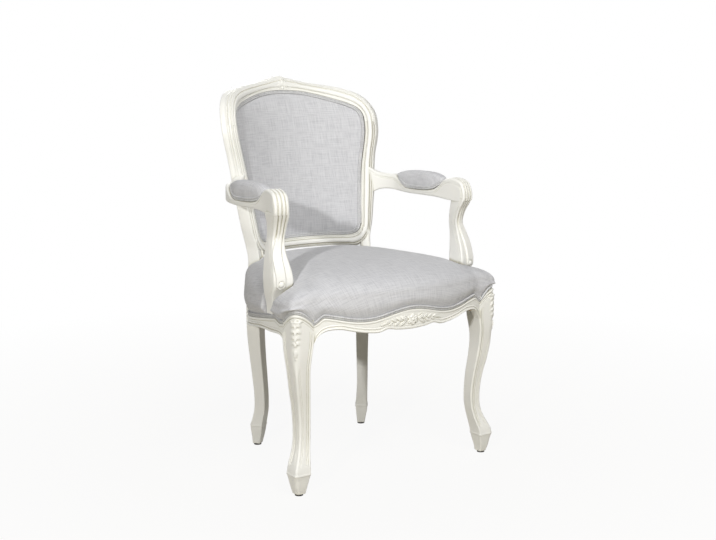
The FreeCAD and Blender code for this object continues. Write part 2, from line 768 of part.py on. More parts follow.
def seat_piping_shape():
    """Double welt round the seat: front, two sides and back, cut at posts and legs."""
    w, t = S["welt_width"], S["welt_height"]
    kx, ky, a = S["knee_x"], S["knee_y"], S["block_size"] / 2
    front = []
    for x in (0, 30, 60, 90, 125, 155, 185, 212, 228, 240):
        slope = (front_y(x + 1) - front_y(x - 1)) / 2
        front.append(welt_station((x, front_y(x)), (slope, -1)))
    for dx, dy, nx, ny in ((-20, -a, 0, -1), (-8, -a, 0, -1), (4, -a, 0.2, -1), (a - 7, -a + 7, 1, -1),
                           (a, -4, 1, -0.2), (a, 8, 1, 0), (a, 20, 1, 0)):
        front.append(welt_station((kx + dx, ky + dy), (nx, ny)))
    for y in (-212, -200, -185, -162):
        front.append(welt_station((side_x(y), y), (1, 0.1)))
    pieces = [tube([flip(p) for p in front[:0:-1]] + front, w, t)]
    side = []
    for y in (-122, -100, -60, -20, 20, 60, 95, 130):
        slope = (side_x(y + 1) - side_x(y - 1)) / 2
        side.append(welt_station((side_x(y), y), (1, -slope)))
    pieces.append(tube(side, w, t))
    pieces.append(mirrored(pieces[-1]))
    y = S["rear_leg_y"] + 13
    rear = [(V(x, y - 4.9, rear_shelf() + t / 2 + 0.3), V(0, 1, 0), UP) for x in (-170, 0, 170)]
    pieces.append(tube(rear, w, t))
    tools = rooms + [front_leg, side_rail]
    pieces = [clear_of(p, tools).cut(front_rail).cut(rear_rail) for p in pieces]
    outer = seat_body(-0.1)
    return Part.makeCompound([biggest(p.cut(outer)) for p in pieces])


# Soft layers in the back
def opening_outline(inset):
    """Half outline of the back opening, bottom to top, moved in by inset."""
    low, high = S["back_rail_low"], S["back_rail_high"]
    half = [(0, high), (60, high), (100, high - 0.5), (124, high - 1), (138, high + 1.5), (149, high + 7),
            (156, high + 15), (160, high + 27), (163, 580)]
    half += [(x, z) for z, x, _ in STILE[4:-1]]
    half += [a for a, _ in CREST_PAIRS]
    moved = []
    for i, (x, z) in enumerate(half):
        xa, za = half[max(0, i - 1)]
        xb, zb = half[min(len(half) - 1, i + 1)]
        tx, tz = (1, 0) if i in (0, len(half) - 1) else (xb - xa, zb - za)
        if i == len(half) - 1:
            tx = -1
        n = math.hypot(tx, tz)
        moved.append((x - inset * tz / n, z + inset * tx / n))
    moved[0] = (0.0, moved[0][1])
    moved[-1] = (0.0, moved[-1][1])
    return moved


def back_prism(inset):
    """Prism with radial walls inside the back opening."""
    half = opening_outline(inset)
    ring = half + [(-x, z) for x, z in half[-2:0:-1]]
    rows = []
    for y in (20.0, 420.0):
        row = []
        for x, z in ring:
            reach = y - back_centre(z)
            row.append(V(reach * math.tan(math.asin(x / S["back_radius"])), y, z))
        rows.append(row)
    return loft(rows, True)


def back_drum(depth):
    """Leaning cylinder out to a depth behind the back's front face."""
    z = 480.0
    ring = Part.makeCircle(S["back_radius"] + depth, V(0, back_centre(z), z), UP)
    face = Part.Face(Part.Wire([ring]))
    return face.extrude(V(0, S["back_rake"] * 520, 520))


BACK_EDGE = 8.0


def back_dome(shift):
    """Everything behind the crowned front surface of the back pad."""
    rows = []
    for i in range(11):
        z = 500.0 + 46.0 * i
        row = []
        for j in range(13):
            x = -222.0 + 37.0 * j
            k = min(1.0, abs(x) / 205.0) ** 2.6
            m = min(1.0, abs(z - 735.0) / 207.0) ** 2.6
            depth = BACK_EDGE + shift - S["back_crown"] * (1 - k) * (1 - m)
            row.append(on_back(x, z, depth))
        rows.append(row)
    surface = Part.BSplineSurface()
    surface.interpolate(rows)
    return surface.toShape().extrude(V(0, 160, 0))


def back_layer(inset, front, depth):
    """Layer of the back between a front solid and a leaning cylinder."""
    return back_drum(depth).common(back_prism(inset)).common(front)


def sheet_layer(inset, depth, thick):
    """Thin curved sheet inside the back opening."""
    return back_drum(depth + thick).cut(back_drum(depth)).common(back_prism(inset))


def halved(line, longest):
    """The line with a middle point put into each stretch that is longer than longest."""
    points = [line[0]]
    for a, b in zip(line, line[1:]):
        if math.hypot(b[0] - a[0], b[1] - a[1]) > longest:
            points.append(((a[0] + b[0]) / 2, (a[1] + b[1]) / 2))
        points.append(b)
    return points


def back_piping_shape(depth, inset, grow=0.0):
    """Double welt round the edge of the back's cloth, or the room for it when grow is given."""
    half = halved(opening_outline(inset), 30.0)
    stations = []
    for i, (x, z) in enumerate(half):
        here = on_back(x, z, depth)
        angle = math.asin(x / S["back_radius"])
        radial = V(math.sin(angle), math.cos(angle), 0)
        xa, za = half[i - 1] if i else (-half[1][0], half[1][1])
        xb, zb = half[i + 1] if i + 1 < len(half) else (-half[-2][0], half[-2][1])
        along = (on_back(xb, zb, depth) - on_back(xa, za, depth)).normalize()
        side = along.cross(radial).normalize()
        stations.append((here, side, radial))
    one = tube(stations, S["welt_width"] + 2 * grow, S["welt_height"] + 2 * grow)
    return one.fuse(mirrored(one)).removeSplitter()


# Arm pads
def pad_rows():
    """Stations along the arm pad: (x, y, wood height, share of the width)."""
    ax, half = S["arm_x"], S["pad_length"] / 2
    rows = []
    for k in (-1.0, -0.93, -0.8, -0.55, -0.25, 0.1, 0.4, 0.65, 0.83, 0.94, 1.0):
        y = S["pad_centre_y"] + half * k
        x = ax - 0.5 - 6.5 * smooth(k) ** 2 + 1.0 * smooth(-k)
        rows.append((x, y, max(0.08, (1 - abs(k) ** 3.2)) ** 0.5))
    return rows


def pad_dome(shrink):
    """Domed arm pad, its lower part drawn in, standing into the wood's hollow."""
    ends = []
    for x, y, share in pad_rows():
        half = (S["pad_half_width"] - 5) * share - shrink
        top = S["arm_top"] - 19 + S["pad_height"] * (0.35 + 0.65 * share) - shrink
        low = S["arm_top"] - 34
        full = half + 4.5 * share
        left, right = V(x - half, y, low), V(x + half, y, low)
        arc = Part.Arc(V(x - full, y, (low + 2 * top) / 3), V(x, y, top), V(x + full, y, (low + 2 * top) / 3))
        a = Part.LineSegment(left, V(x - full, y, (low + 2 * top) / 3)).toShape()
        b = Part.LineSegment(V(x + full, y, (low + 2 * top) / 3), right).toShape()
        c = Part.LineSegment(right, left).toShape()
        ends.append(Part.Wire([a, arc.toShape(), b, c]))
    solid = Part.makeLoft(ends, True, False)
    if solid.Volume < 0:
        solid.reverse()
    return solid


def arm_top_at(y):
    """Height of the arm's upper face at y, in the pad's hollow."""
    rows = sorted((row[1], row[3]) for row in arm_rows())
    return table(rows, y)


def pad_piping_shape():
    """Double welt round the foot of an arm pad, laid in the wood's hollow."""
    half = S["pad_length"] / 2
    w = S["pad_half_width"] - S["welt_width"] / 2 + 1.0
    loops = []
    for side in (1, -1):
        line = []
        for i in range(15):
            turn = math.pi * i / 14
            y = 2.0 + (half - 2) * math.cos(turn)
            drift = -6.5 * smooth((y - 2) / half) ** 2 + 1.0 * smooth((2 - y) / half)
            line.append(V(S["arm_x"] - 0.5 + drift + side * w * math.sin(turn) ** 0.8, y,
                          arm_top_at(y) + S["welt_height"] / 2 + 0.2))
        stations = []
        for i, c in enumerate(line):
            along = line[min(14, i + 1)] - line[max(0, i - 1)]
            if i in (0, 14):
                along = V(side * (1 if i == 0 else -1), 0, 0)
            out = V(along.y, -along.x, 0).normalize() * -side
            stations.append((c, out, UP))
        loops.append(tube(stations, S["welt_width"], S["welt_height"]))
    ring = loops[0].fuse(loops[1]).removeSplitter()
    return ring.cut(arm).cut(pad_dome(-S["soft_gap"]))


# Blocks in the corners of the seat frame
def inner_room(gap):
    """Upright prism inside the seat rails, a gap away from their inner faces."""
    room = S["rail_thick"] + gap
    rear = S["rear_leg_y"] + 13 - S["rear_rail_thick"] - gap
    half = [(0, rear), (side_x(S["rear_leg_y"] - 6) - room, rear)]
    half += [(side_x(y) - room, y) for y in (95, 50, 0, -60, -120, -180)]
    half += [(side_x(block_face_y()) - room, block_face_y() + gap), (block_face_x() - gap, block_face_y() + gap)]
    half += [(x, front_y(x) + room) for x in (block_face_x() - gap, 205, 150, 100, 50, 0)]
    ring = half + [(-x, y) for x, y in half[-2:0:-1]]
    face = Part.Face(Part.makePolygon([V(x, y, 200) for x, y in ring + ring[:1]]))
    return face.extrude(V(0, 0, 300)).cut(rear_leg).cut(mirrored(rear_leg))


def corner_block(plan):
    """Block in a corner of the seat frame, between two planes under the deck."""
    face = Part.Face(Part.makePolygon([V(x, y, 300) for x, y in plan + plan[:1]]))
    top = -S["block_down"]
    body = face.extrude(V(0, 0, 180)).common(under_deck(top)).cut(under_deck(top - S["block_depth"]))
    return biggest(body.common(block_room))


def block_plans():
    kx, ky = S["knee_x"], S["knee_y"]
    lx, ly = S["rear_leg_x"], S["rear_leg_y"]
    front = [(kx - 87, ky - 25), (kx + 5, ky - 25), (kx + 5, ky + 93), (kx - 17, ky + 93)]
    rear = [(lx - 73, ly + 2), (lx + 54, ly + 2), (lx + 54, ly - 93), (lx + 34, ly - 93)]
    return front, rear


def block_screw_places():
    """Heads and directions of the screws that hold the corner blocks."""
    kx, ky = S["knee_x"], S["knee_y"]
    lx, ly = S["rear_leg_x"], S["rear_leg_y"]
    reach = S["screw_length"]
    mid = S["block_down"] + S["block_depth"] / 2
    y_f = front_y(kx - 64) + S["rail_thick"] + 14 - reach
    x_s = side_x(ky + 66) - S["rail_thick"] - 14 + reach
    y_r = ly + 13 - S["rear_rail_thick"] - 14 + reach
    x_r = side_x(ly - 64) - S["rail_thick"] - 14 + reach
    places = [(V(kx - 64, y_f + reach, deck(ky) - mid), V(0, -1, 0)),
              (V(x_s - reach, ky + 66, deck(ky + 66) - mid), V(1, 0, 0)),
              (V(lx - 44, y_r - reach, deck(ly) - mid - 5), V(0, 1, 0)),
              (V(x_r - reach, ly - 64, deck(ly - 64) - mid - 4), V(1, 0, 0))]
    return places


def screw_shape(start, direction, gap):
    """Flat-headed wood screw with a short conical head."""
    r, head = S["screw_diameter"] / 2 + gap, S["screw_head"] / 2 + gap
    tall = head - r
    cone = Part.makeCone(head, r, tall, start, direction)
    room = Part.makeCylinder(head, 30, start - direction * 30, direction)
    body = cone.fuse(pin(start, direction, S["screw_length"] + 3 * gap, 2 * r))
    return body.fuse(room) if gap else body


# Build the soft tools and the wooden frame
post = post_shape()
rear_leg = rear_leg_shape()
arm = arm_shape(rear_leg)
front_leg = front_leg_shape()
front_rail = front_rail_shape()
side_rail = side_rail_shape()
rear_rail = rear_rail_shape()
crest = crest_shape()
back_rail = back_rail_shape()

gap = S["hole_gap"]
length = S["dowel_length"]
rear_length = S["rear_leg_dowel_length"]
rail_holes = dowel_pins(rail_dowels(), gap, length) + dowel_pins(rear_leg_dowels(), gap, rear_length)
back_holes = dowel_pins(back_dowels(), gap, length * 0.8)
arm_holes = dowel_pins(arm_dowel_places(), gap, length)
screw_holes = [screw_shape(p, d, gap) for p, d in block_screw_places()]
lift = V(0, 0, S["joint_gap"])
crest.translate(lift)
rooms = post_room()
block_room = inner_room(S["joint_gap"])

front_leg_cut = cut_all(front_leg, rail_holes)
rear_leg_cut = cut_all(rear_leg, rail_holes + back_holes + arm_holes[:1])
side_rail_cut = cut_all(side_rail, rail_holes + arm_holes[2:] + screw_holes[1::2])
post_cut = cut_all(post, arm_holes[1:])
arm_cut = cut_all(arm, arm_holes[:2])
front_rail_cut = clear_of(front_rail, rail_holes + screw_holes[:1])
rear_rail_cut = clear_of(rear_rail, rail_holes + screw_holes[2:3])
crest_cut = clear_of(crest, back_holes)
back_rail_cut = clear_of(back_rail, back_holes)

for label, shape in (("front_leg", front_leg_cut), ("rear_leg", rear_leg_cut),
                     ("side_seat_rail", side_rail_cut), ("arm_post", post_cut), ("arm", arm_cut)):
    add_feature(label + "_left", shape)
    add_feature(label + "_right", mirrored(shape))
add_feature("front_seat_rail", front_rail_cut)
add_feature("rear_seat_rail", rear_rail_cut)
add_feature("crest_rail", crest_cut)
add_feature("back_bottom_rail", back_rail_cut)
for label, plan in zip(("front", "rear"), block_plans()):
    block = cut_all(corner_block(plan), screw_holes + rail_holes)
    add_feature("corner_block_%s_left" % label, block)
    add_feature("corner_block_%s_right" % label, mirrored(block))


def pair_group(label, shapes):
    return add_feature(label, Part.makeCompound(shapes + [mirrored(s) for s in shapes]))


frame_pins = dowel_pins(rail_dowels(), 0, length) + dowel_pins(rear_leg_dowels(), 0, rear_length)
pair_group("seat_frame_dowels", frame_pins)
pair_group("back_frame_dowels", dowel_pins(back_dowels(), 0, length * 0.8))
pair_group("arm_dowels", dowel_pins(arm_dowel_places(), 0, length))
pair_group("corner_block_screws", [screw_shape(p, d, 0) for p, d in block_screw_places()])

# Glides under the four feet
feet = [(S["knee_x"] + 4.5, S["knee_y"] - 3.8), (S["rear_leg_x"] - 3, S["rear_leg_y"] + 4)]
glides = []
for x, y in feet + [(-x, y) for x, y in feet]:
    disc = doc.addObject("Part::Cylinder", "Glide")
    disc.setExpression("Radius", "Sizes.glide_diameter / 2")
    disc.setExpression("Height", "Sizes.glide_height")
    disc.Placement.Base = V(x, y, 0)
    glides.append(disc)
group = doc.addObject("Part::Compound", "leg_glides")
group.Label = "leg_glides"
group.Links = glides
nodes.append(group)


def strap(x, y, span, above, across):
    """One webbing strap lying on the deck plane, centred on (x, y)."""
    band = doc.addObject("Part::Box", "Strap")
    long_side, short_side = ("Length", "Width") if across else ("Width", "Length")
    setattr(band, long_side, span)
    band.setExpression(short_side, "Sizes.strap_width")
    band.setExpression("Height", "Sizes.strap_thick")
    half = V(span / 2, S["strap_width"] / 2, 0) if across else V(S["strap_width"] / 2, span / 2, 0)
    turn = FreeCAD.Rotation(V(1, 0, 0), -math.degrees(math.atan(S["deck_slope"])))
    band.Placement = FreeCAD.Placement(V(x, y, deck(y) + above) - turn.multVec(half), turn)
    return band


def strap_group(label, straps):
    webs = doc.addObject("Part::Compound", label)
    webs.Label = label
    webs.Links = straps
    nodes.append(webs)


pitch = S["strap_width"] + S["strap_space"]
edge = S["rebate_depth"] + 3
y_back = S["rear_leg_y"] + 13 - edge
long_straps = []
for i in range(-2, 3):
    y_front = front_y(abs(i) * pitch + S["strap_width"] / 2) + edge
    long_straps.append(strap(i * pitch, (y_front + y_back) / 2, (y_back - y_front) * 1.0105, 0.05, False))
strap_group("seat_webbing_long", long_straps)
cross_straps = []
for y in (-208, -90, -30, 28, 84):
    reach = min(side_x(y - 25), side_x(y + 25)) - edge - (10 if y < -200 else 0)
    cross_straps.append(strap(0, y, 2 * reach, S["strap_thick"] + 0.1, True))
strap_group("seat_webbing_cross", cross_straps)

# Seat upholstery
add_feature("seat_foam", seat_foam_shape())
add_feature("seat_cover", seat_cover_shape())
add_feature("seat_piping", seat_piping_shape())

# Back upholstery
cloth = S["cloth_thick"]
inset = S["cover_inset"]
back_depth = 18.0
outside_depth = 28.0
welt_inset = S["welt_width"] / 2 + 2 * inset
front_depth = BACK_EDGE - S["welt_height"] / 2 - 0.6
rear_depth = outside_depth + cloth + S["welt_height"] / 2 + 4 * S["soft_gap"]
welt_room = back_piping_shape(front_depth, welt_inset, S["soft_gap"])
back_front = back_dome(0)
back_cover = back_layer(inset, back_front, back_depth).cut(back_dome(cloth)).cut(welt_room)
back_foam = back_layer(inset, back_dome(cloth + S["soft_gap"]), back_depth).cut(welt_room)
add_feature("back_cover", biggest(back_cover))
add_feature("back_foam", biggest(back_foam))
add_feature("back_lining", sheet_layer(inset, back_depth + S["soft_gap"], S["dust_cloth"]))
add_feature("outside_back_cover", sheet_layer(inset, outside_depth, cloth))
add_feature("back_piping_front", back_piping_shape(front_depth, welt_inset))
add_feature("back_piping_rear", back_piping_shape(rear_depth, welt_inset))

# Arm pads
pad_cover = biggest(pad_dome(0).cut(pad_dome(cloth)).cut(arm))
pad_foam = biggest(pad_dome(cloth + S["soft_gap"]).cut(arm))
pad_piping = biggest(pad_piping_shape())
for label, shape in (("arm_pad_foam", pad_foam), ("arm_pad_cover", pad_cover),
                     ("arm_pad_piping", pad_piping)):
    add_feature(label + "_left", shape)
    add_feature(label + "_right", mirrored(shape))


def dust_cover_shape():
    """Cloth under the corner blocks, cut to the inside of the frame."""
    top = -S["block_down"] - S["block_depth"] - 0.1
    layer = under_deck(top).cut(under_deck(top - S["dust_cloth"]))
    return biggest(layer.common(inner_room(2 * S["joint_gap"])))


add_feature("dust_cover", dust_cover_shape())

doc.recompute()
bad = [o.Name for o in doc.Objects if "Invalid" in o.State or "Error" in o.State]
for n in nodes:
    if n.Shape.isNull() or not n.Shape.isValid():
        bad.append(n.Label)
if bad:
    raise SystemExit("failed objects: " + ", ".join(bad))
for n in nodes:
    n.Shape.exportStep("parts/%s.step" % n.Label)
box = Part.makeCompound([n.Shape for n in nodes]).BoundBox
print("nodes", len(nodes), "box", round(box.XMin, 1), round(box.XMax, 1), round(box.YMin, 1),
      round(box.YMax, 1), round(box.ZMin, 1), round(box.ZMax, 1))
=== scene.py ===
import json
import math
import bpy
import numpy as np
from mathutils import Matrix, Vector


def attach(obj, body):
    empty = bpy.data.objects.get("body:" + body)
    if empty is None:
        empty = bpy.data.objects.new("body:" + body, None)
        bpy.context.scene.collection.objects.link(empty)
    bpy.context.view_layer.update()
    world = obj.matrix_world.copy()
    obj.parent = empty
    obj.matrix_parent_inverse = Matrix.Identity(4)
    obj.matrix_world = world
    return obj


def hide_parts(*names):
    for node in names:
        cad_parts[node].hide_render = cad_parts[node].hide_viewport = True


# Dining armchair: carved and painted wooden frame, linen seat, back and arm pads with double welts.
# Lengths are in millimetres of the chair's own frame and become metres when a mesh is made.
# The front faces -Y and the sitter's left is +X.

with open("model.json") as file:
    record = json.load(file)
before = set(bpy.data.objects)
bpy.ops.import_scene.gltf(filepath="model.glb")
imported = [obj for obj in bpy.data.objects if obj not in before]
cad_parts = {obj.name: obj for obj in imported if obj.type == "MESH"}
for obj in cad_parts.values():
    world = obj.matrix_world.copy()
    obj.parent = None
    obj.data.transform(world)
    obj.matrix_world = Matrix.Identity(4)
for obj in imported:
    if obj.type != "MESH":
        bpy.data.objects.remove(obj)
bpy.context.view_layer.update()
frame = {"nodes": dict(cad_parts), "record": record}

METRE = 0.001
LEFT, RIGHT = 1, -1
# Degrees past which an edge is shaded hard: carved wood has such edges, cloth has none
WOOD_EDGE, CLOTH_EDGE = 40.0, 180.0

# Legs: places of the front and rear legs, the front leg's square top and its arched knee
KNEE_X, KNEE_Y, BLOCK, LEG_TOP = 275.0, -241.0, 52.0, 424.0
ARCH_PEAK, ARCH_NOTCH = 434.0, 406.0
REAR_X, REAR_Y, REAR_TURN, REAR_WIDTH = 171.0, 138.0, math.radians(35.0), 36.5
GLIDE = 4.5
# Back: part of a cylinder whose axis leans backwards
BACK_RADIUS, BACK_AXIS_Y, BACK_AXIS_Z, BACK_RAKE, BACK_THICK = 290.0, -112.0, 560.0, 0.25, 34.0
BACK_CORNER, SHOULDER = 568.0, 845.0
BACK_MIDDLE = np.array([0.0, 735.0])
# Seat: the sloping deck, the rails with their curved faces and the shelf for the welt
DECK_FRONT, DECK_EDGE_Y, DECK_SLOPE = 440.0, -282.0, 0.145
RAIL_FRONT_Y, RAIL_BOW, BOW_SHARE, RAIL_THICK, SIDE_SWELL = -312.0, 45.0, 1.115, 26.0, 26.0
SHELF_DOWN, SHELF_WAVE, WAVE_LENGTH, NOTCH_DROP = 27.0, 9.0, 250.0, 16.0
RAIL_END_X = 248.0
SEAT_MIDDLE = np.array([0.0, -65.0])
CROWN, DUST_DOWN, DUST_SAG = 528.0, 38.0, 4.0
# Arms and their pads
ARM_X, POST_Y = 265.0, -141.0
PAD_Y, PAD_LENGTH, PAD_HALF, PAD_TOP = -9.5, 183.0, 25.0, 719.0


def smooth(k):
    """Ramp from 0 to 1 with flat ends: k squared times (3 - 2k)."""
    k = np.clip(k, 0.0, 1.0)
    return k * k * (3 - 2 * k)


def bump(k):
    """Round hill that is 1 at k = 0 and 0 beyond k = -1 and 1: (1 - k squared) squared."""
    return np.clip(1 - np.asarray(k, float) ** 2, 0, None) ** 2


def curve(places, values, at):
    """Cubic Hermite reading of a table, each entry's slope being that of its neighbours."""
    p = np.asarray(places, float)
    v = np.asarray(values, float)
    flat = v.ndim == 1
    v = v[:, None] if flat else v
    at = np.clip(np.asarray(at, float), p[0], p[-1])
    slope = np.gradient(v, p, axis=0)
    i = np.clip(np.searchsorted(p, at, side="right") - 1, 0, len(p) - 2)
    step = (p[i + 1] - p[i])[..., None]
    k = (at - p[i])[..., None] / step
    out = (v[i] * (1 + 2 * k) * (1 - k) ** 2 + slope[i] * step * k * (1 - k) ** 2
           + v[i + 1] * k * k * (3 - 2 * k) + slope[i + 1] * step * k * k * (k - 1))
    return out[..., 0] if flat else out


def closed_curve(ring, count):
    """Closed smooth line through a ring of points, measured along its first two columns: its rows at
    evenly spaced places, these places and the whole length."""
    span = np.linalg.norm(np.diff(np.vstack([ring, ring[:1]])[:, :2], axis=0), axis=1)
    place = np.concatenate([[0], np.cumsum(span)])
    total = place[-1]
    around = np.vstack([ring[-3:], ring, ring[:4]])
    around_place = np.concatenate([place[-4:-1] - total, place[:-1], place[:4] + total])
    at = np.linspace(0, total, count, endpoint=False)
    return curve(around_place, around, at), at, total


def unit(vectors):
    """Vectors over their own length."""
    return vectors / np.maximum(np.linalg.norm(vectors, axis=-1, keepdims=True), 1e-9)


def tangents(line):
    """Unit tangents of a closed line."""
    return unit(np.roll(line, -1, axis=0) - np.roll(line, 1, axis=0))


def line_normals(line, middle):
    """Unit normals of a closed line in a plane, pointing away from a middle."""
    tangent = tangents(line)
    normal = np.stack([tangent[:, 1], -tangent[:, 0]], axis=1)
    return -normal if (normal * (line - middle)).sum() < 0 else normal


# Meshes from grids of points
def grid_normals(points):
    """Outward unit normals of a grid of closed rows: the cross product of its central differences."""
    along = np.gradient(points, axis=0)
    across = np.roll(points, -1, axis=1) - np.roll(points, 1, axis=1)
    normals = unit(np.cross(along, across))
    outward = points - points.mean(axis=1, keepdims=True)
    return -normals if (normals * outward).sum() < 0 else normals


def raise_by(points, height):
    """Points moved out along their normals by a height."""
    return points + grid_normals(points) * height[..., None]


def grid_object(name, points, uv=None, edge=CLOTH_EDGE, ends="closed", facing=None):
    """Object from a grid of points (rows, columns, 3): quads between neighbours round each row.

    The ends are fans to the middles of the first and last row ("closed"), one fan at the last row
    ("last"), or the last row meets the first ("joined"). Faces point outwards, or towards facing."""
    rows, cols = points.shape[:2]
    index = np.arange(rows * cols).reshape(rows, cols)
    if ends == "joined":
        index = np.vstack([index, index[:1]])
    index = np.hstack([index, index[:, :1]])
    quads = np.stack([index[:-1, :-1], index[:-1, 1:], index[1:, 1:], index[1:, :-1]], axis=-1)
    quads = quads.reshape(-1, 4)
    verts = points.reshape(-1, 3)
    tips = {"closed": (0, -1), "last": (-1,), "joined": ()}[ends]
    fans = np.zeros((0, 3), int)
    for tip in tips:
        rim = index[tip]
        pair = (rim[:-1], rim[1:]) if tip else (rim[1:], rim[:-1])
        fans = np.vstack([fans, np.stack([np.full(cols, len(verts)), *pair], axis=-1)])
        verts = np.vstack([verts, points[tip].mean(axis=0)])
    triangles = np.vstack([quads[:, [0, 1, 2]], quads[:, [0, 2, 3]], fans])
    a, b, c = verts[triangles].transpose(1, 0, 2)
    if facing is None:
        turned = np.einsum("ij,ij->i", a, np.cross(b, c)).sum() < 0
    else:
        turned = np.cross(b - a, c - a).sum(axis=0) @ np.array(facing, float) < 0
    if turned:
        quads, fans = quads[:, ::-1], fans[:, ::-1]
    mesh = bpy.data.meshes.new(name)
    mesh.from_pydata((verts * METRE).tolist(), [], quads.tolist() + fans.tolist())
    if uv is not None:
        layer = mesh.uv_layers.new(name="UVMap")
        loops = np.empty(len(mesh.loops), np.int32)
        mesh.loops.foreach_get("vertex_index", loops)
        flat = uv.reshape(-1, 2)
        flat = np.vstack([flat] + [flat[tip] for tip in tips])
        layer.data.foreach_set("uv", (flat[loops] * METRE).astype(np.float32).ravel())
    mesh.shade_smooth()
    mesh.set_sharp_from_angle(angle=math.radians(edge))
    mesh.update()
    obj = bpy.data.objects.new(name, mesh)
    bpy.context.collection.objects.link(obj)
    return obj


def quad_rows(corners, radius, side_points, corner_points):
    """Closed sections through four corners, each corner rounded by a parabola of the given reach.

    Returns the points and, for each, a place w: the number of its side plus its share along it."""
    points, place = [], []
    radius = np.broadcast_to(np.asarray(radius, float), (len(corners), 4))
    for k in range(4):
        a, b, c = corners[:, k], corners[:, (k + 1) % 4], corners[:, (k + 2) % 4]
        length = np.linalg.norm(b - a, axis=1)
        after = np.linalg.norm(c - b, axis=1)
        start, stop = radius[:, k] / length, radius[:, (k + 1) % 4] / length
        t = np.linspace(0, 1, side_points[k])[None, :]
        s = start[:, None] + (1 - start - stop)[:, None] * t
        points.append(a[:, None] * (1 - s)[..., None] + b[:, None] * s[..., None])
        place.append(k + s)
        p0 = b + (a - b) * stop[:, None]
        turn = radius[:, (k + 1) % 4] / after
        p2 = b + (c - b) * turn[:, None]
        t = np.linspace(0, 1, corner_points + 2)[None, 1:-1, None]
        points.append(p0[:, None] * (1 - t) ** 2 + b[:, None] * 2 * t * (1 - t) + p2[:, None] * t * t)
        place.append(k + 1 - stop[:, None] * (1 - t[..., 0]) + turn[:, None] * t[..., 0])
    return np.concatenate(points, axis=1), np.concatenate(place, axis=1)


def level_sections(x, y, z, a, b, skew=0.0):
    """Level sections, 2a wide and 2b deep, around points: front corners first. Skew turns the front
    and rear faces outwards."""
    return np.stack([np.column_stack([x + i * a, y + j * b + i * skew, z])
                     for i, j in ((-1, -1), (1, -1), (1, 1), (-1, 1))], axis=1)


# Carved ornament: heights over a surface whose own coordinates are in millimetres
def groove(distance, at, width, depth):
    """Round groove at a distance, width to each side."""
    return -depth * bump((distance - at) / width)


def dome(x, z, at, radius, height):
    """Half ball pressed flat to a height."""
    k = np.hypot(x - at[0], z - at[1]) / radius
    return height * np.sqrt(np.clip(1 - k * k, 0, None))


def petal(x, z, at, angle, length, width, height):
    """Leaf lobe: widest past its middle, round across, with a sunk vein along its axis."""
    c, s = math.cos(math.radians(angle)), math.sin(math.radians(angle))
    a = ((x - at[0]) * c + (z - at[1]) * s) / length
    b = -(x - at[0]) * s + (z - at[1]) * c
    share = np.clip(a, 0, 1)
    half = width / 2 * np.sqrt(np.clip(np.sin(math.pi * share ** 0.8), 0.0, 1)) + 1e-6
    across = np.clip(1 - (b / half) ** 2, 0, None)
    crown = height * np.sqrt(across) * (0.55 + 0.45 * np.sin(math.pi * share))
    crown = crown - 0.35 * height * bump(b / (0.2 * width)) * smooth(a * 4)
    return np.where((a > 0) & (a < 1) & (np.abs(b) < half), np.clip(crown, 0, None), 0.0)


def scroll(x, z, at, size, height, turn):
    """Volute: a round ridge along an Archimedean spiral of one and a half turns, with an eye."""
    dx, dz = x - at[0], z - at[1]
    r = np.hypot(dx, dz)
    angle = (turn * np.arctan2(dz, dx)) % (2 * math.pi)
    pitch = size / 1.5
    out = dome(x, z, at, 0.45 * pitch, height)
    for lap in range(2):
        ridge = pitch * (lap + angle / (2 * math.pi))
        inside = (ridge < size) & (ridge > 0.2 * pitch)
        out = np.maximum(out, np.where(inside, height * bump((r - ridge) / (0.42 * pitch)), 0))
    return out


def highest(lobes):
    return np.maximum.reduce(lobes)


# Shared lines of the frame
def deck(y):
    """Height of the sloping plane that the seat is built on."""
    return DECK_FRONT - DECK_SLOPE * (y - DECK_EDGE_Y)


def front_y(x):
    """Front rail's outer face: a parabola bowed forwards."""
    return RAIL_FRONT_Y + RAIL_BOW * (x / KNEE_X * BOW_SHARE) ** 2


def side_x(y):
    """Side rail's outer face: a line from the front to the rear leg with a swell, fuller at the rear."""
    y_a, x_a = KNEE_Y + 33.0, KNEE_X + BLOCK / 2 - 2.0
    y_b, x_b = REAR_Y - 5.0, REAR_X + 24.0
    k = (y - y_a) / (y_b - y_a)
    return x_a + (x_b - x_a) * k + 4 * SIDE_SWELL * k * (1 - k) * (1 + 0.25 * (2 * k - 1))


def front_shelf(x):
    """Shelf of the front rail: a cosine wave that drops to a notch beside the leg."""
    drop = smooth((np.abs(x) - 222.0) / 26.0)
    wave = SHELF_WAVE * np.cos(2 * math.pi * x / WAVE_LENGTH)
    return deck(DECK_EDGE_Y) - SHELF_DOWN + wave - NOTCH_DROP * drop


def side_shelf(y):
    """Shelf of the side rail: a slope that drops to a notch beside the front leg."""
    return deck(-20.0) - 16.0 - 0.165 * (y + 20.0) - 12.0 * smooth((-165.0 - y) / 35.0)


# Lower edge of the rails: (distance from the middle, or y, depth under the deck)
FRONT_LOW = [(0, 65), (25, 64), (45, 62.5), (67, 59), (90, 64.5), (122, 63), (152, 58),
             (190, 49.5), (205, 49.5), (222, 52), (236, 60), (243, 68), (249, 80)]
SIDE_LOW = [(-220, 70), (-212, 60), (-200, 53.5), (-185, 50), (-150, 47), (-93, 41), (-20, 41),
            (80, 44.5), (110, 47), (135, 52), (170, 52)]


def knee_arch(x, y):
    """Height of the front leg's top: a parabola across its outer diagonal."""
    across = (x - KNEE_X + y - KNEE_Y) / math.sqrt(2)
    return ARCH_PEAK - (ARCH_PEAK - ARCH_NOTCH) * (across / (BLOCK * 0.7)) ** 2


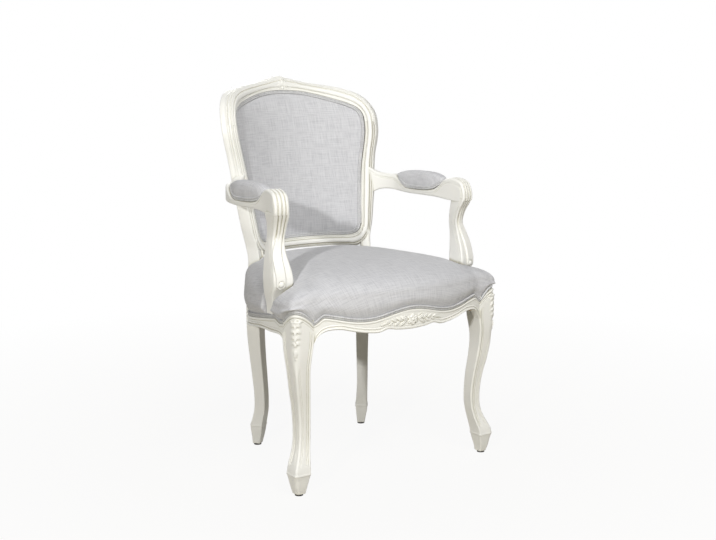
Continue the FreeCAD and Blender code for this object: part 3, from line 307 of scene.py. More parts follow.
def on_back(x, z, depth):
    """Points at x of the back's front face, moved out along its radius by depth."""
    angle = np.arcsin(np.clip(x / BACK_RADIUS, -1, 1))
    r = BACK_RADIUS + depth
    axis_y = BACK_AXIS_Y + BACK_RAKE * (z - BACK_AXIS_Z)
    return np.stack([r * np.sin(angle), axis_y + r * np.cos(angle), z + 0 * angle], axis=-1)


def back_sections(inner_x, inner_z, outer_x, outer_z):
    """Sections of the back's frame: front face outwards, outer side, rear face and inner side."""
    return np.stack([on_back(inner_x, inner_z, 0), on_back(outer_x, outer_z, 0),
                     on_back(outer_x, outer_z, BACK_THICK), on_back(inner_x, inner_z, BACK_THICK)], axis=1)


# Half outlines of the back opening and of its frame, as (inner x, inner z, outer x, outer z)
BOTTOM = [(0, 541, 0, 512), (50, 541, 50, 512), (95, 540.5, 95, 512), (120, 540, 121, 510.5),
          (136, 542, 140, 509), (148, 547, 155, 515), (156, 555, 168, 529), (160.5, 568, 178, 550)]
STILE = [(163, 580, 185.5, 580), (166.5, 615, 190.5, 615), (170.5, 650, 195.5, 650),
         (175.5, 690, 200, 690), (181, 730, 204, 730), (188, 765, 209, 765), (194, 795, 215, 795),
         (198, 820, 218.5, 820), (199, 845, 219.5, 845)]
CREST = [(198.5, 859, 218.8, 862), (195, 872, 215.5, 880), (187.5, 883, 207.5, 900),
         (176, 891, 194, 917), (160, 898.5, 174, 929), (138, 906, 148, 938), (110, 914.5, 116, 944),
         (76, 923, 79, 950), (45, 928, 45, 957), (22, 929.7, 20, 963.5), (0, 930.2, 0, 968.5)]


def opening_line(count):
    """Closed smooth lines of the back opening and of its frame's outer edge, from the bottom middle."""
    half = np.array(BOTTOM + STILE + CREST, float)
    return closed_curve(np.vstack([half, half[-2:0:-1] * np.array([-1, 1, -1, 1])]), count)


# The same lines, fine enough to look up a place along them
OUTLINE, OUTLINE_PLACE, OUTLINE_LENGTH = opening_line(4000)


def back_profile(t, live=1.0):
    """Moulding across the back's frame, t from the opening to the outer edge, heights in mm:
    a cove beside the welt, a broad round ridge, a groove and a bead that falls back.
    Where live is 0, low on the stile, only the cove is left."""
    cove = -1.4 * bump((t - 0.13) / 0.12) - 1.3 * bump((t - 0.26) / 0.05)
    ridge = 3.4 * np.sqrt(np.clip(1 - ((t - 0.48) / 0.21) ** 2, 0, None))
    line = -2.0 * bump((t - 0.71) / 0.055) - 1.2 * bump((t - 0.87) / 0.035)
    fall = -7.0 * smooth((t - 0.70) / 0.32) ** 1.3
    return cove + live * (ridge + line + fall + 0.8 * bump((t - 0.79) / 0.06))


def back_side(w, fade=1.0):
    """Moulding on the outer side of the back's frame, w from 1 at the front edge to 2 at the rear:
    the edge falls back, and behind it lie two grooves and a hollow, as deep as fade says."""
    down = (w - 1) * BACK_THICK
    lines = groove(down, 7.0, 2.0, 1.7) + groove(down, 14.0, 2.0, 1.5) - 1.2 * bump((down - 21.0) / 6.0)
    return np.where(w < 2, lines * fade - 3.0 * (1 - smooth((w - 1) * 4)), 0)


# Materials
def linear(hex_colour):
    """Linear RGBA of an sRGB hex colour."""
    parts = [int(hex_colour[i:i + 2], 16) / 255 for i in (1, 3, 5)]
    return tuple(c / 12.92 if c <= 0.04045 else ((c + 0.055) / 1.055) ** 2.4 for c in parts) + (1.0,)


class Shading:
    """Node tree of a material or the world."""

    def __init__(self, owner):
        owner.use_nodes = True
        self.tree = owner.node_tree
        self.tree.nodes.clear()

    def node(self, kind, inputs=None, stops=(), **settings):
        """Adds a node. An input is a plain value or the output of another node; stops are the places
        and colours of a colour ramp."""
        made = self.tree.nodes.new(kind)
        for key, value in settings.items():
            setattr(made, key, value)
        for key, value in (inputs or {}).items():
            if isinstance(value, bpy.types.NodeSocket):
                self.tree.links.new(value, made.inputs[key])
            else:
                made.inputs[key].default_value = value
        if stops:
            ends = made.color_ramp.elements
            while len(ends) < len(stops):
                ends.new(0.5)
            for element, (place, colour) in zip(ends, stops):
                element.position = place
                element.color = linear(colour)
        return made


def painted_wood():
    """Satin ivory paint over carved beech. Hollows 9 mm wide and less are darkened towards grey-green and
    brown: partly a thin grey-green glazing, partly painted shade;
    edges stay bright, and brush strokes 1 mm wide leave a faint ripple."""
    material = bpy.data.materials.new("satin_ivory_paint_on_beech")
    f = Shading(material)
    coord = f.node("ShaderNodeTexCoord").outputs["Object"]
    # Painted shade: ambient occlusion darkens the hollows through the colour ramp, partly standing for a
    # grey-green glazing
    hollow = f.node("ShaderNodeAmbientOcclusion", {"Distance": 0.009}, samples=8)
    cloud = f.node("ShaderNodeTexNoise", {"Vector": coord, "Scale": 18.0, "Detail": 4.0}).outputs["Fac"]
    soft = f.node("ShaderNodeMath", {0: cloud, 1: 0.14}, operation="MULTIPLY")
    glaze_and_painted_shade = f.node("ShaderNodeMath", {0: hollow.outputs["AO"], 1: soft.outputs[0]}, operation="ADD")
    # Ramp from painted brown shade in the deepest hollows, through the shaded paint tone, to the lit paint
    colour = f.node("ShaderNodeValToRGB", {"Fac": glaze_and_painted_shade.outputs[0]},
                    [(0.25, "#99937D"), (0.60, "#CAC7B8"), (0.88, "#E6E5DC"), (1.0, "#EEEDE7")])
    rough = f.node("ShaderNodeMapRange", {"Value": cloud, "To Min": 0.36, "To Max": 0.52})
    brush = f.node("ShaderNodeMapping", {"Vector": coord, "Scale": (900.0, 900.0, 60.0)})
    stroke = f.node("ShaderNodeTexNoise", {"Vector": brush.outputs[0], "Scale": 1.0, "Detail": 3.0})
    relief = f.node("ShaderNodeBump", {"Height": stroke.outputs["Fac"], "Strength": 0.25,
                                       "Distance": 0.0002})
    paint = f.node("ShaderNodeBsdfPrincipled",
                   {"Base Color": colour.outputs["Color"], "Roughness": rough.outputs["Result"],
                    "Normal": relief.outputs[0], "IOR": 1.46, "Coat Weight": 0.1, "Coat Roughness": 0.3})
    f.node("ShaderNodeOutputMaterial", {"Surface": paint.outputs[0]})
    return material


def linen(name, pale, mid, dark):
    """Plain-woven linen with slubs: uneven threads both ways, every few millimetres a thick one
    some 45 mm long, matt with a slight fuzz. The bands of threads repeat every 314 mm over their
    scale: the real spacing of 0.7 mm is drawn at 2.8 mm so that it shows."""
    material = bpy.data.materials.new(name)
    f = Shading(material)
    uv = f.node("ShaderNodeUVMap", uv_map="UVMap").outputs[0]
    slubs, threads = [], []
    for scale, offset in (((430.0, 22.0, 1.0), 0.0), ((22.0, 430.0, 1.0), 3.7)):
        place = f.node("ShaderNodeMapping", {"Vector": uv, "Scale": scale, "Location": (offset, offset, 0)})
        slub = f.node("ShaderNodeTexNoise", {"Vector": place.outputs[0], "Scale": 1.0, "Detail": 3.0,
                                             "Roughness": 0.62})
        slubs.append(slub.outputs["Fac"])
    for axis in ("X", "Y"):
        wave = f.node("ShaderNodeTexWave", {"Vector": uv, "Scale": 112.0, "Distortion": 1.2,
                                            "Detail": 2.0, "Detail Scale": 0.6},
                      wave_type="BANDS", bands_direction=axis)
        threads.append(wave.outputs["Fac"])
    both = f.node("ShaderNodeMath", {0: slubs[0], 1: slubs[1]}, operation="ADD").outputs[0]
    share = f.node("ShaderNodeMapRange", {"Value": both, "From Min": 0.7, "From Max": 1.3})
    colour = f.node("ShaderNodeValToRGB", {"Fac": share.outputs["Result"]},
                    [(0.18, dark), (0.5, mid), (0.85, pale)])
    weave = f.node("ShaderNodeMath", {0: threads[0], 1: threads[1]}, operation="MAXIMUM")
    lumps = f.node("ShaderNodeMath", {0: weave.outputs[0], 1: both}, operation="ADD")
    relief = f.node("ShaderNodeBump", {"Height": lumps.outputs[0], "Strength": 0.55, "Distance": 0.0006})
    cloth = f.node("ShaderNodeBsdfPrincipled",
                   {"Base Color": colour.outputs["Color"], "Normal": relief.outputs[0], "Roughness": 0.88,
                    "Sheen Weight": 0.18, "Sheen Roughness": 0.5, "IOR": 1.45})
    f.node("ShaderNodeOutputMaterial", {"Surface": cloth.outputs[0]})
    return material


def plain_finish(name, colours, roughness, grain, metallic=0.0):
    """Finish of a hidden piece: two close colours over a noise with grain lumps per metre each way,
    and a ripple that goes with it."""
    material = bpy.data.materials.new(name)
    f = Shading(material)
    coord = f.node("ShaderNodeTexCoord").outputs["Object"]
    place = f.node("ShaderNodeMapping", {"Vector": coord, "Scale": grain})
    noise = f.node("ShaderNodeTexNoise", {"Vector": place.outputs[0], "Scale": 1.0, "Detail": 5.0})
    colour = f.node("ShaderNodeValToRGB", {"Fac": noise.outputs["Fac"]},
                    [(0.3, colours[0]), (0.7, colours[1])])
    relief = f.node("ShaderNodeBump", {"Height": noise.outputs["Fac"], "Strength": 0.4, "Distance": 0.0003})
    surface = f.node("ShaderNodeBsdfPrincipled",
                     {"Base Color": colour.outputs["Color"], "Normal": relief.outputs[0],
                      "Roughness": roughness, "Metallic": metallic})
    f.node("ShaderNodeOutputMaterial", {"Surface": surface.outputs[0]})
    return material


PAINT = painted_wood()
LINEN = linen("slubby_grey_linen", "#D5D5D7", "#CDCDCF", "#BFBFC2")
WELT = linen("linen_double_welt", "#D4D4D3", "#C8C8C8", "#B4B4B5")
# Non-woven polypropylene cloth: dull black with a fine grain
DUST = plain_finish("black_dust_cloth", ("#26262A", "#151518"), 0.95, (900.0, 900.0, 900.0))


def dress(obj, material, nodes):
    """Gives a finished piece its material and body, and hides the nodes that it stands for."""
    obj.data.materials.append(material)
    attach(obj, "root")
    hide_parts(*nodes)
    return obj


def side_name(side):
    return "_left" if side == LEFT else "_right"


def mirrored(points, side):
    return points * np.array([side, 1, 1])


def wooden(name, points, node, side=None):
    """Painted piece in the place of a node; one of a pair is mirrored and named for its side."""
    if side is not None:
        name, node, points = name + side_name(side), node + side_name(side), mirrored(points, side)
    dress(grid_object(name, points, edge=WOOD_EDGE), PAINT, [node])


# Front leg: (height over the glide, how far its centre swings out, width)
FRONT_LEG = [(0, 4.5, 23.5), (14, 5.5, 29.0), (34, 5.0, 37.0), (48, 5.0, 41.5), (60, 3.0, 41.0),
             (76, -2.0, 37.5), (96, -8.5, 33.0), (120, -13.5, 31.0), (150, -15.0, 31.0),
             (180, -13.8, 32.0), (212, -10.5, 34.0), (245, -5.5, 37.0), (275, -1.8, 39.0),
             (305, 0.8, 42.5), (330, 1.5, 47.5), (357, 0.0, 52.0), (440, 0.0, 52.0)]
# Share of the swing that goes forwards, and how deep the rebate on the knee's top is
FORWARD_SHARE, KNEE_REBATE = 0.85, 11.0


# Leaves on the knee: (height, length, width); how far the carving is spread and raised
KNEE_LEAVES = [(416, 15, 8.5), (401, 15, 8.0), (386, 13, 7.0), (372, 11, 6.0)]
KNEE_SPREAD, KNEE_RELIEF = 1.45, 1.5


def knee_carving(t, z):
    """Shell and hanging leaves on the knee, t from the arris and z height, both in mm."""
    lobes = [petal(t, z, (0, 352), -90, 20, 8, 2.4)]
    for level, reach, size in KNEE_LEAVES:
        for side in (-1, 1):
            lobes.append(petal(t, z, (side * 1.0, level), -90 + side * 42, reach, size, 2.2))
        lobes.append(petal(t, z, (0, level - 3), -90, reach, 5.5, 2.6))
    for side in (-1, 1):
        lobes.append(petal(t, z, (side * 4, 414), 90 - side * 62, 13, 6, 1.8))
    lobes.append(dome(t, z, (0, 417), 4.5, 2.8))
    lobes.append(dome(t, z, (0, 330), 2.2, 1.5))
    return KNEE_RELIEF * highest(lobes)


def front_leg(side):
    """Cabriole leg: rounded square sections whose centre swings along the outer diagonal. Its outer
    faces carry grooves and a bead along their edges, arches under the knee's top, and carving."""
    table = np.array(FRONT_LEG, float)
    v = np.concatenate([np.linspace(0, 44, 26), np.linspace(46, 60, 12), np.linspace(62, 320, 110),
                        np.linspace(321.5, 445, 100)])
    out, width = curve(table[:, 0], table[:, 1:], v).T
    x, y, z = KNEE_X + out, KNEE_Y - FORWARD_SHARE * out, GLIDE + v
    arris = 6.0 + 13.0 * smooth((v - 275) / 60) + 5.0 * smooth((66 - v) / 30)
    radius = np.column_stack([0 * v + 3.0, arris, 0 * v + 3.0, 0 * v + 2.5])
    points, w = quad_rows(level_sections(x, y, z, width / 2, width / 2), radius, (46, 46, 14, 14), 13)
    t = (w - 1) * width[:, None]
    reach = np.abs(t)
    edge = width[:, None] - reach
    height = np.broadcast_to(z[:, None], w.shape)
    outer = (w > 0.0) & (w < 2.0)
    level = np.where(outer, knee_arch(points[..., 0], points[..., 1]), LEG_TOP)
    under = level - height
    lines = groove(edge, 7.0, 1.3, 1.1) + groove(edge, 11.5, 1.3, 1.1)
    for at, end in ((7.5, 326), (11.5, 316)):
        lines = lines + groove(reach, at, 1.2, 0.9) * smooth((end - height) / 14)
    lines = lines + 0.9 * bump((edge - 9.2) / 2.4) + 1.6 * bump((edge - 2.5) / 4.5)
    lines = lines * smooth((height - 66) / 16) * smooth((under - 16) / 12)
    arches = groove(under, 7.5, 1.6, 1.6) + 1.2 * bump((under - 3.5) / 3.8) + groove(under, 13.5, 1.3, 1.1)
    arches = arches * (height > 380)
    carving = knee_carving(t / KNEE_SPREAD, height) * smooth((under - 4) / 4)
    ankle = 1.3 * bump((height - 52) / 4.0)
    points = raise_by(points, np.where(height > level, 0, (lines + arches + carving) * outer + ankle))
    points[..., 2] = np.minimum(points[..., 2], level)
    pull = unit(np.array([KNEE_X - 4, KNEE_Y + 4]) - points[..., :2])
    points[..., :2] += pull * (np.clip(height - level, 0, KNEE_REBATE) * outer)[..., None]
    wooden("carved_front_leg", points, "front_leg", side)


# Rear leg: (height over the glide, offset of its centre in x and y, width)
REAR_LEG = [(0, -3.0, 4.0, 21.0), (20, -3.7, 1.5, 26.0), (40, -3.8, 0.0, 31.5), (52, -4.2, -0.5, 33.0),
            (68, -6.0, -4.0, 31.5), (90, -8.2, -8.6, 30.0), (125, -8.6, -10.5, 29.5),
            (180, -6.5, -7.2, 31.0), (240, -3.4, -2.6, 33.5), (290, -1.0, -0.2, 35.8),
            (320.5, 0, 0, REAR_WIDTH), (400.5, 0, 0, REAR_WIDTH), (425, 0, 0, REAR_WIDTH)]
# Stile below the back opening's corner: (height, inner x, outer x)
STILE_FOOT = [(505, 152, 174), (535, 156, 176.5), (555, 159.5, 180.5), (580, 163, 185.5)]


def turned_square(x, y, z, width):
    """Sections of the rear leg, whose front face turns towards the middle of the chair."""
    along = np.array([math.cos(REAR_TURN), -math.sin(REAR_TURN), 0])
    ahead = np.array([-math.sin(REAR_TURN), -math.cos(REAR_TURN), 0])
    half = (width / 2)[:, None]
    return np.stack([np.column_stack([x, y, z]) + i * along * half + j * ahead * half
                     for i, j in ((-1, 1), (1, 1), (1, -1), (-1, -1))], axis=1)


def rear_leg(side):
    """Leg and stile in one: turned squares below, sections of the moulded back frame above."""
    table = np.array(REAR_LEG, float)
    low = turned_square(REAR_X + table[:, 1], REAR_Y + table[:, 2], GLIDE + table[:, 0], table[:, 3])
    stile = np.array(STILE_FOOT + [(z, inner, outer) for inner, z, outer, _ in STILE[1:]], float)
    high = back_sections(stile[:, 1], stile[:, 0], stile[:, 2], stile[:, 0])
    stations = np.vstack([low, high]).reshape(-1, 12)
    place = np.concatenate([GLIDE + table[:, 0], stile[:, 0]])
    z = np.concatenate([np.linspace(GLIDE, 70, 40), np.linspace(73, SHOULDER, 300)])
    corners = curve(place, stations, z).reshape(-1, 4, 3)
    radius = np.column_stack([0 * z + 3.0, 3.5 + 2.0 * smooth((z - 520) / 40), 0 * z + 3.0, 0 * z + 3.0])
    points, w = quad_rows(corners, radius, (44, 34, 14, 12), 7)
    height = np.broadcast_to(z[:, None], w.shape)
    live = smooth((height - 545) / 14)
    started = smooth((height - 538) / 14)
    face = back_profile(np.clip(w, 0, 1), live) * started
    face = face - 4.0 * (1 - started) * smooth((height - 430) / 60)
    relief = np.where(w <= 1, face, live * back_side(w, smooth((height - 690) / 70)))
    ankle = 1.1 * bump((height - 56) / 4.5)
    wooden("rear_leg_and_stile", raise_by(points, relief + ankle), "rear_leg", side)


def frame_stretch(name, first, last, count, node, carve=None):
    """Moulded stretch of the back's frame between two places of its outline."""
    around = np.vstack([OUTLINE] * 3)
    where = np.concatenate([OUTLINE_PLACE + lap * OUTLINE_LENGTH for lap in (-1, 0, 1)])
    at = np.linspace(first, last, count)
    rows = np.stack([np.interp(at, where, around[:, k]) for k in range(4)], axis=1)
    points, w = quad_rows(back_sections(*rows.T), (3.0, 4.5, 3.0, 3.0), (48, 34, 14, 12), 7)
    relief = np.where(w <= 1, back_profile(np.clip(w, 0, 1)), back_side(w))
    if carve:
        width = np.linalg.norm(rows[:, 2:] - rows[:, :2], axis=1)[:, None]
        relief = carve(relief, rows[:, :1] + 0 * w, w * width, width)
    wooden(name, raise_by(points, relief), node)


def crest_carving(relief, x, d, width):
    """Small palmette in the middle of the crest: a bud between curling leaves."""
    lobes = [petal(x, d, (0, 6), 90, 33, 11, 3.4), dome(x, d, (0, 7), 4.2, 3.4)]
    for side in (-1, 1):
        lobes.append(petal(x, d, (side * 2, 8), 90 - side * 34, 24, 9, 3.0))
        lobes.append(petal(x, d, (side * 3, 7), 90 - side * 66, 19, 8, 2.6))
        lobes.append(petal(x, d, (side * 14, 9), 90 - side * 80, 20, 7, 2.0))
    field = highest(lobes)
    return np.where(d < width, np.maximum(relief, relief * 0.45 + field * (field > 0.05)), relief)


def back_frame():
    """Crest rail from shoulder to shoulder and lower rail from corner to corner."""
    heights = OUTLINE[:len(OUTLINE) // 2, 1]
    shoulder, corner = (OUTLINE_PLACE[np.argmin(np.abs(heights - z))] for z in (SHOULDER, BACK_CORNER))
    frame_stretch("moulded_crest_rail", shoulder, OUTLINE_LENGTH - shoulder, 420, "crest_rail",
                  crest_carving)
    frame_stretch("moulded_back_bottom_rail", -corner, corner, 260, "back_bottom_rail")


# Seat rails

# Leaves on the apron: (distance from the middle, 1 upwards or -1 downwards); how far the carving is
# spread, stretched upwards and raised, and how far it reaches from the middle
APRON_LEAVES = [(11, 1), (14, -1), (21, 1), (27, -1), (33, 1), (40, -1), (46, 1)]
APRON_SPREAD, APRON_STRETCH, APRON_RELIEF, APRON_REACH = 1.4, 1.18, 1.35, 92


def apron_carving(x, z):
    """Flower in the middle of the front rail with leaf sprays to both sides; z from the middle line."""
    lobes = [dome(x, z, (0, 0), 4.0, 4.0)]
    lobes += [petal(x, z, (0, 0), 60 * k + 30, 12, 9.5, 3.2) for k in range(6)]
    for side in (-1, 1):
        for k, (at, up) in enumerate(APRON_LEAVES):
            size = 1 - 0.07 * k
            angle = 90 - side * 90 + side * up * 34
            place = (side * at, -1.0 + 0.03 * at)
            lobes.append(petal(x, z, place, angle, 17 * size, 7.5 * size, 2.8 * size))
        lobes.append(petal(x, z, (side * 44, 1), 90 - side * 90, 22, 5, 2.0))
        lobes.append(scroll(x, z, (side * 17.5, 5.85), 4.5, 1.8, side))
    return APRON_RELIEF * highest(lobes)


def rail_points(outer, inner, low, top, face_points):
    """Points of a seat rail, their place w and its face's height: front face, shelf under the welt,
    inner face and underside."""
    pairs = ((outer, low), (outer, top), (inner, top), (inner, low))
    corners = np.stack([np.column_stack(pair) for pair in pairs], axis=1)
    points, w = quad_rows(corners, (3.0, 2.0, 2.0, 3.0), (face_points, 12, 14, 10), 6)
    return points, w, (top - low)[:, None]


def rail_moulding(w, face):
    """Heights on a rail's face: beads and grooves along its lower edge and one under the welt."""
    down, up = w * face, (1 - w) * face
    lower = 2.0 * bump((down - 3.0) / 5.0) + groove(down, 7.5, 1.5, 1.5) + 1.0 * bump((down - 10.5) / 2.8)
    lower = lower + groove(down, 13.5, 1.2, 0.8)
    return lower + 1.6 * bump((up - 3.0) / 4.2) + groove(up, 6.5, 1.3, 1.1)


def front_rail():
    """Bowed and shaped apron, whose mouldings give way to carving in its middle."""
    side, middle = np.linspace(93, 253, 105), np.linspace(-APRON_REACH, APRON_REACH, 265)
    x = np.concatenate([-side[::-1], middle, side])
    y = front_y(x)
    low = DECK_FRONT - curve(*zip(*FRONT_LOW), np.abs(x))
    top = front_shelf(np.minimum(np.abs(x), RAIL_END_X))
    outer, inner = np.column_stack([x, y]), np.column_stack([x, y + RAIL_THICK])
    points, w, face = rail_points(outer, inner, low, top, 60)
    wide = np.broadcast_to(x[:, None], w.shape)
    lines = rail_moulding(w, face)
    carve = apron_carving(wide / APRON_SPREAD, (w * face - face * 0.5) / APRON_STRETCH)
    quiet = 1 - 0.75 * smooth((APRON_REACH - np.abs(wide)) / 18)
    relief = np.maximum(lines * quiet, 0.25 * lines + carve * (carve > 0.05))
    points = raise_by(points, np.where((w > 0) & (w < 1), relief, 0))
    wooden("carved_front_rail", points, "front_seat_rail")


def side_rail(side):
    """Swelling side rail with the same mouldings."""
    y = np.linspace(-223, 148, 230)
    x = side_x(y)
    low = deck(y) - curve(*zip(*SIDE_LOW), y)
    outer, inner = np.column_stack([x, y]), np.column_stack([x - RAIL_THICK, y])
    points, w, face = rail_points(outer, inner, low, side_shelf(y), 50)
    points = raise_by(points, np.where((w > 0) & (w < 1), rail_moulding(w, face), 0))
    wooden("moulded_side_rail", points, "side_seat_rail", side)


# Arm: (x, y, low edge, high edge, half width, direction ahead in x and y)
ARM = [(201, 149.6, 644, 725, 11.5, 0.74, -0.67), (211.7, 142, 654, 716, 12.5, 0.74, -0.67),
       (223, 133, 661, 709, 14.5, 0.72, -0.69), (233, 122, 664, 706, 15.5, 0.66, -0.75),
       (243, 109, 664.5, 704.5, 17.0, 0.55, -0.84), (254, 92, 663.5, 703, 20.5, 0.40, -0.92),
       (261, 70, 661, 693, 24.0, 0.22, -0.98), (264, 40, 659, 675, 26.0, 0.06, -1.0),
       (265, 0, 658, 671.5, 26.0, 0.0, -1.0), (265, -40, 657.5, 672.5, 25.0, 0.0, -1.0),
       (265.5, -60, 657, 674, 23.6, 0.03, -1.0), (266.5, -80, 656.5, 679, 22.2, 0.06, -1.0),
       (267.5, -95, 655, 689, 20.8, 0.09, -1.0), (268.5, -108, 653, 701, 19.8, 0.12, -0.99),
       (271, -130, 651, 709, 19.4, 0.17, -0.985), (274, -150, 651, 707, 19.2, 0.20, -0.98)]
# Knob at the arm's end: (degrees from upright, reach from the arm's underside)
KNOB_REACH = [(0, 56), (20, 52), (45, 41.5), (70, 34), (90, 29.5)]
ARM_STATIONS, KNOB_STATIONS = 250, 59


def reeds(w, wide, width, deep):
    """Three round grooves, width to each side, that divide a face into four reeds."""
    return sum(groove(w * wide, share * wide, width, deep) for share in (0.25, 0.5, 0.75))


def arm_sections():
    """Middle, half width vector, low and high edge of the arm's sections: upright along the arm,
    then turning about the underside so that the top runs over the knob and down its front."""
    rows = np.array(ARM, float)
    place = np.concatenate([[0], np.cumsum(np.linalg.norm(np.diff(rows[:, :2], axis=0), axis=1))])
    r = curve(place, rows, np.linspace(0, place[-1], ARM_STATIONS))
    zero = 0 * r[:, 0]
    centre = np.column_stack([r[:, 0], r[:, 1], zero])
    across = unit(np.column_stack([-r[:, 6], r[:, 5], zero])) * r[:, 4:5]
    turn = np.linspace(0, math.pi / 2, KNOB_STATIONS + 1)[1:, None]
    ahead, up = np.array([[0.14, -0.99, 0.0]]), np.array([[0.0, 0.0, 1.0]])
    arc = ahead * np.sin(turn) + up * np.cos(turn)
    reach = curve(*zip(*KNOB_REACH), np.degrees(turn))
    low = np.vstack([r[:, 2:3] * up, rows[-1, 2] * up + arc * 0.5])
    high = np.vstack([r[:, 3:4] * up, rows[-1, 2] * up + arc * reach])
    return np.vstack([centre, centre[-1:] + 0 * arc]), np.vstack([across, across[-1:] + 0 * arc]), low, high


def arm(side):
    """Arm: rounded sections along a curved line, reeded from the pad's front end over the knob."""
    c, across, low, high = arm_sections()
    corners = np.stack([c + across + high, c - across + high, c - across + low, c + across + low], 1)
    half = np.linalg.norm(across, axis=1)
    tall = np.linalg.norm(high - low, axis=1)
    top = np.minimum(8.0, np.minimum(half * 0.6, tall * 0.35))
    foot = np.where(np.arange(len(c)) < ARM_STATIONS - 10, np.minimum(5.0, tall * 0.3), 0.4)
    points, w = quad_rows(corners, np.column_stack([top, top, foot, foot]), (44, 26, 14, 26), 8)
    live = smooth((-84 - c[:, 1:2]) / 16)
    tall = tall[:, None]
    outside = groove((w - 1) * tall, 9.0, 1.5, 1.2) + groove((w - 1) * tall, 13.0, 1.3, 1.0)
    inside = groove((4 - w) * tall, 9.0, 1.5, 1.2)
    sides = np.where(w < 2, outside, np.where(w > 3, inside, 0))
    relief = np.where(w <= 1, reeds(w, 2 * half[:, None], 2.4, 2.8) * live, sides)
    wooden("reeded_arm", raise_by(points, relief * smooth(tall / 20 - 0.5)), "arm", side)


# Arm post: (height, offset in x and y from the post's place, width, depth)
POST = [(655, 11.5, -13, 37, 50), (645, 10, -11.5, 36, 46), (633, 8, -7.5, 34, 40),
        (615, 6.5, -2, 31, 34.5), (597, 7, 1.5, 30, 31), (577, 9.5, 0, 32, 33), (557, 11.5, -4, 36, 39),
        (539, 12, -9, 41, 46), (519, 12, -13.5, 46, 52), (499, 12, -16, 49, 55), (485, 12.5, -15, 47, 53),
        (465, 16, -8, 35, 41), (445, 18.5, -2, 22, 30), (427, 19.5, 0, 17, 26), (417, 19.5, 0, 17, 26)]
# Slope of the post's front face, which looks a little outwards
POST_SLOPE = 0.22


def post_sizes(z):
    """Middle in x and y, half width and half depth of the arm post at a height."""
    rows = np.array(POST, float)[::-1]
    r = curve(rows[:, 0], rows[:, 1:], z)
    return ARM_X + r[..., 0], POST_Y + r[..., 1], r[..., 2] / 2, r[..., 3] / 2


def post_carving(x, z):
    """Raised rib on the outer half of the post's front, ending in a curled lip with its eye."""
    x = x - 8.0 * smooth((610 - z) / 70)
    half = 6.5 + 6.0 * smooth((620 - z) / 75)
    end = np.hypot(x / half, np.clip(491 - z, 0, None) / 12.0)
    rib = 3.6 * smooth((1.0 - end) * 5.0) * smooth((640 - z) / 50)
    return rib + dome(x, z, (-1.0, 491), 5.5, 2.6) - 1.4 * bump((np.hypot(x + 1.0, z - 491) - 7.6) / 1.7)


def arm_post(side):
    """Arm post: rounded level sections, reeded above and with a carved rib on its swollen foot.
    Two grooves run along the front edge of its sides."""
    z = np.linspace(417, 657, 210)
    x, y, a, b = post_sizes(z)
    skew = POST_SLOPE * a * smooth((z - 436) / 30)
    radius = np.repeat((np.minimum(a, b) * 0.3)[:, None], 4, axis=1)
    points, w = quad_rows(level_sections(x, y, z, a, b, skew), radius, (46, 30, 12, 30), 9)
    height = np.broadcast_to(z[:, None], w.shape)
    wide, deep = 2 * a[:, None], 2 * b[:, None]
    front = reeds(w, wide, 2.2, 2.6) * smooth((height - 572) / 50) + post_carving((w - 0.5) * wide, height)
    edge = np.minimum(w - 1, 4 - w) * deep
    sides = np.where((w < 2) | (w > 3), groove(edge, 8.0, 1.6, 1.2) + groove(edge, 13.0, 1.4, 0.8), 0)
    relief = np.where(w <= 1, front, sides * smooth((height - 452) / 20))
    wooden("reeded_arm_post", raise_by(points, relief), "arm_post", side)


for side in (LEFT, RIGHT):
    front_leg(side)
    rear_leg(side)
    side_rail(side)
    arm(side)
    arm_post(side)
front_rail()
back_frame()


# Seat pad
def seat_outline(count):
    """Closed outline of the seat frame's outer face with its outward normals, from the rear middle."""
    half = BLOCK / 2
    y_rear = REAR_Y + 13
    rows = [(0, y_rear), (60, y_rear), (120, y_rear), (REAR_X - 14, y_rear - 0.5),
            (REAR_X + 10, y_rear - 5)]
    rows += [(side_x(y), y) for y in (132, 105, 70, 30, -15, -60, -105, -150, -190)]
    rows += [(KNEE_X + half, KNEE_Y + 22), (KNEE_X + half, KNEE_Y + 2),
             (KNEE_X + half - 6, KNEE_Y - half + 6), (KNEE_X + 2, KNEE_Y - half)]
    rows += [(x, front_y(x)) for x in (235, 200, 160, 115, 75, 35, 0)]
    line = closed_curve(np.array(rows + [(-x, y) for x, y in rows[-2:0:-1]], float), count)[0]
    return line, line_normals(line, SEAT_MIDDLE)


def welt_level(x, y):
    """Height of the shelf under the welt at a point of the outline."""
    x = np.abs(x)
    rail = np.where(y < KNEE_Y + BLOCK / 2, front_shelf(np.minimum(x, RAIL_END_X)), side_shelf(y))
    return np.where((x > KNEE_X - BLOCK / 2) & (y < KNEE_Y + BLOCK / 2), knee_arch(x, y), rail)


def beside_posts(points):
    """Points of the pad moved in from the arm posts: the inner limit is the post's inner face, and
    opens over a few millimetres before and behind the post."""
    post_x, post_y, a, b = post_sizes(points[..., 2])
    away = np.abs(points[..., 1] - post_y) - b - 3.0
    limit = post_x - a - 1.0 + 60.0 * smooth(away / 22.0)
    moved = points.copy()
    moved[..., 0] = np.sign(points[..., 0]) * np.minimum(np.abs(points[..., 0]), limit)
    return moved


# Seat pad at the front, the sides and the rear: height of its brim and swell past the rail's face
BRIM, SWELL = (462, 441, 488), (7.5, 17.5, 6.0)
# Middle of the crown; reach of its level lines to the front and the sides, and their shape: rounded
# squares, drawn together towards the rear
CROWN_MIDDLE = np.array([0.0, -10.0])
FRONT_REACH, SIDE_REACH, SIDE_TAPER, REAR_STRETCH, SQUARENESS = 302.0, 300.0, 0.3, 1.72, 2.6


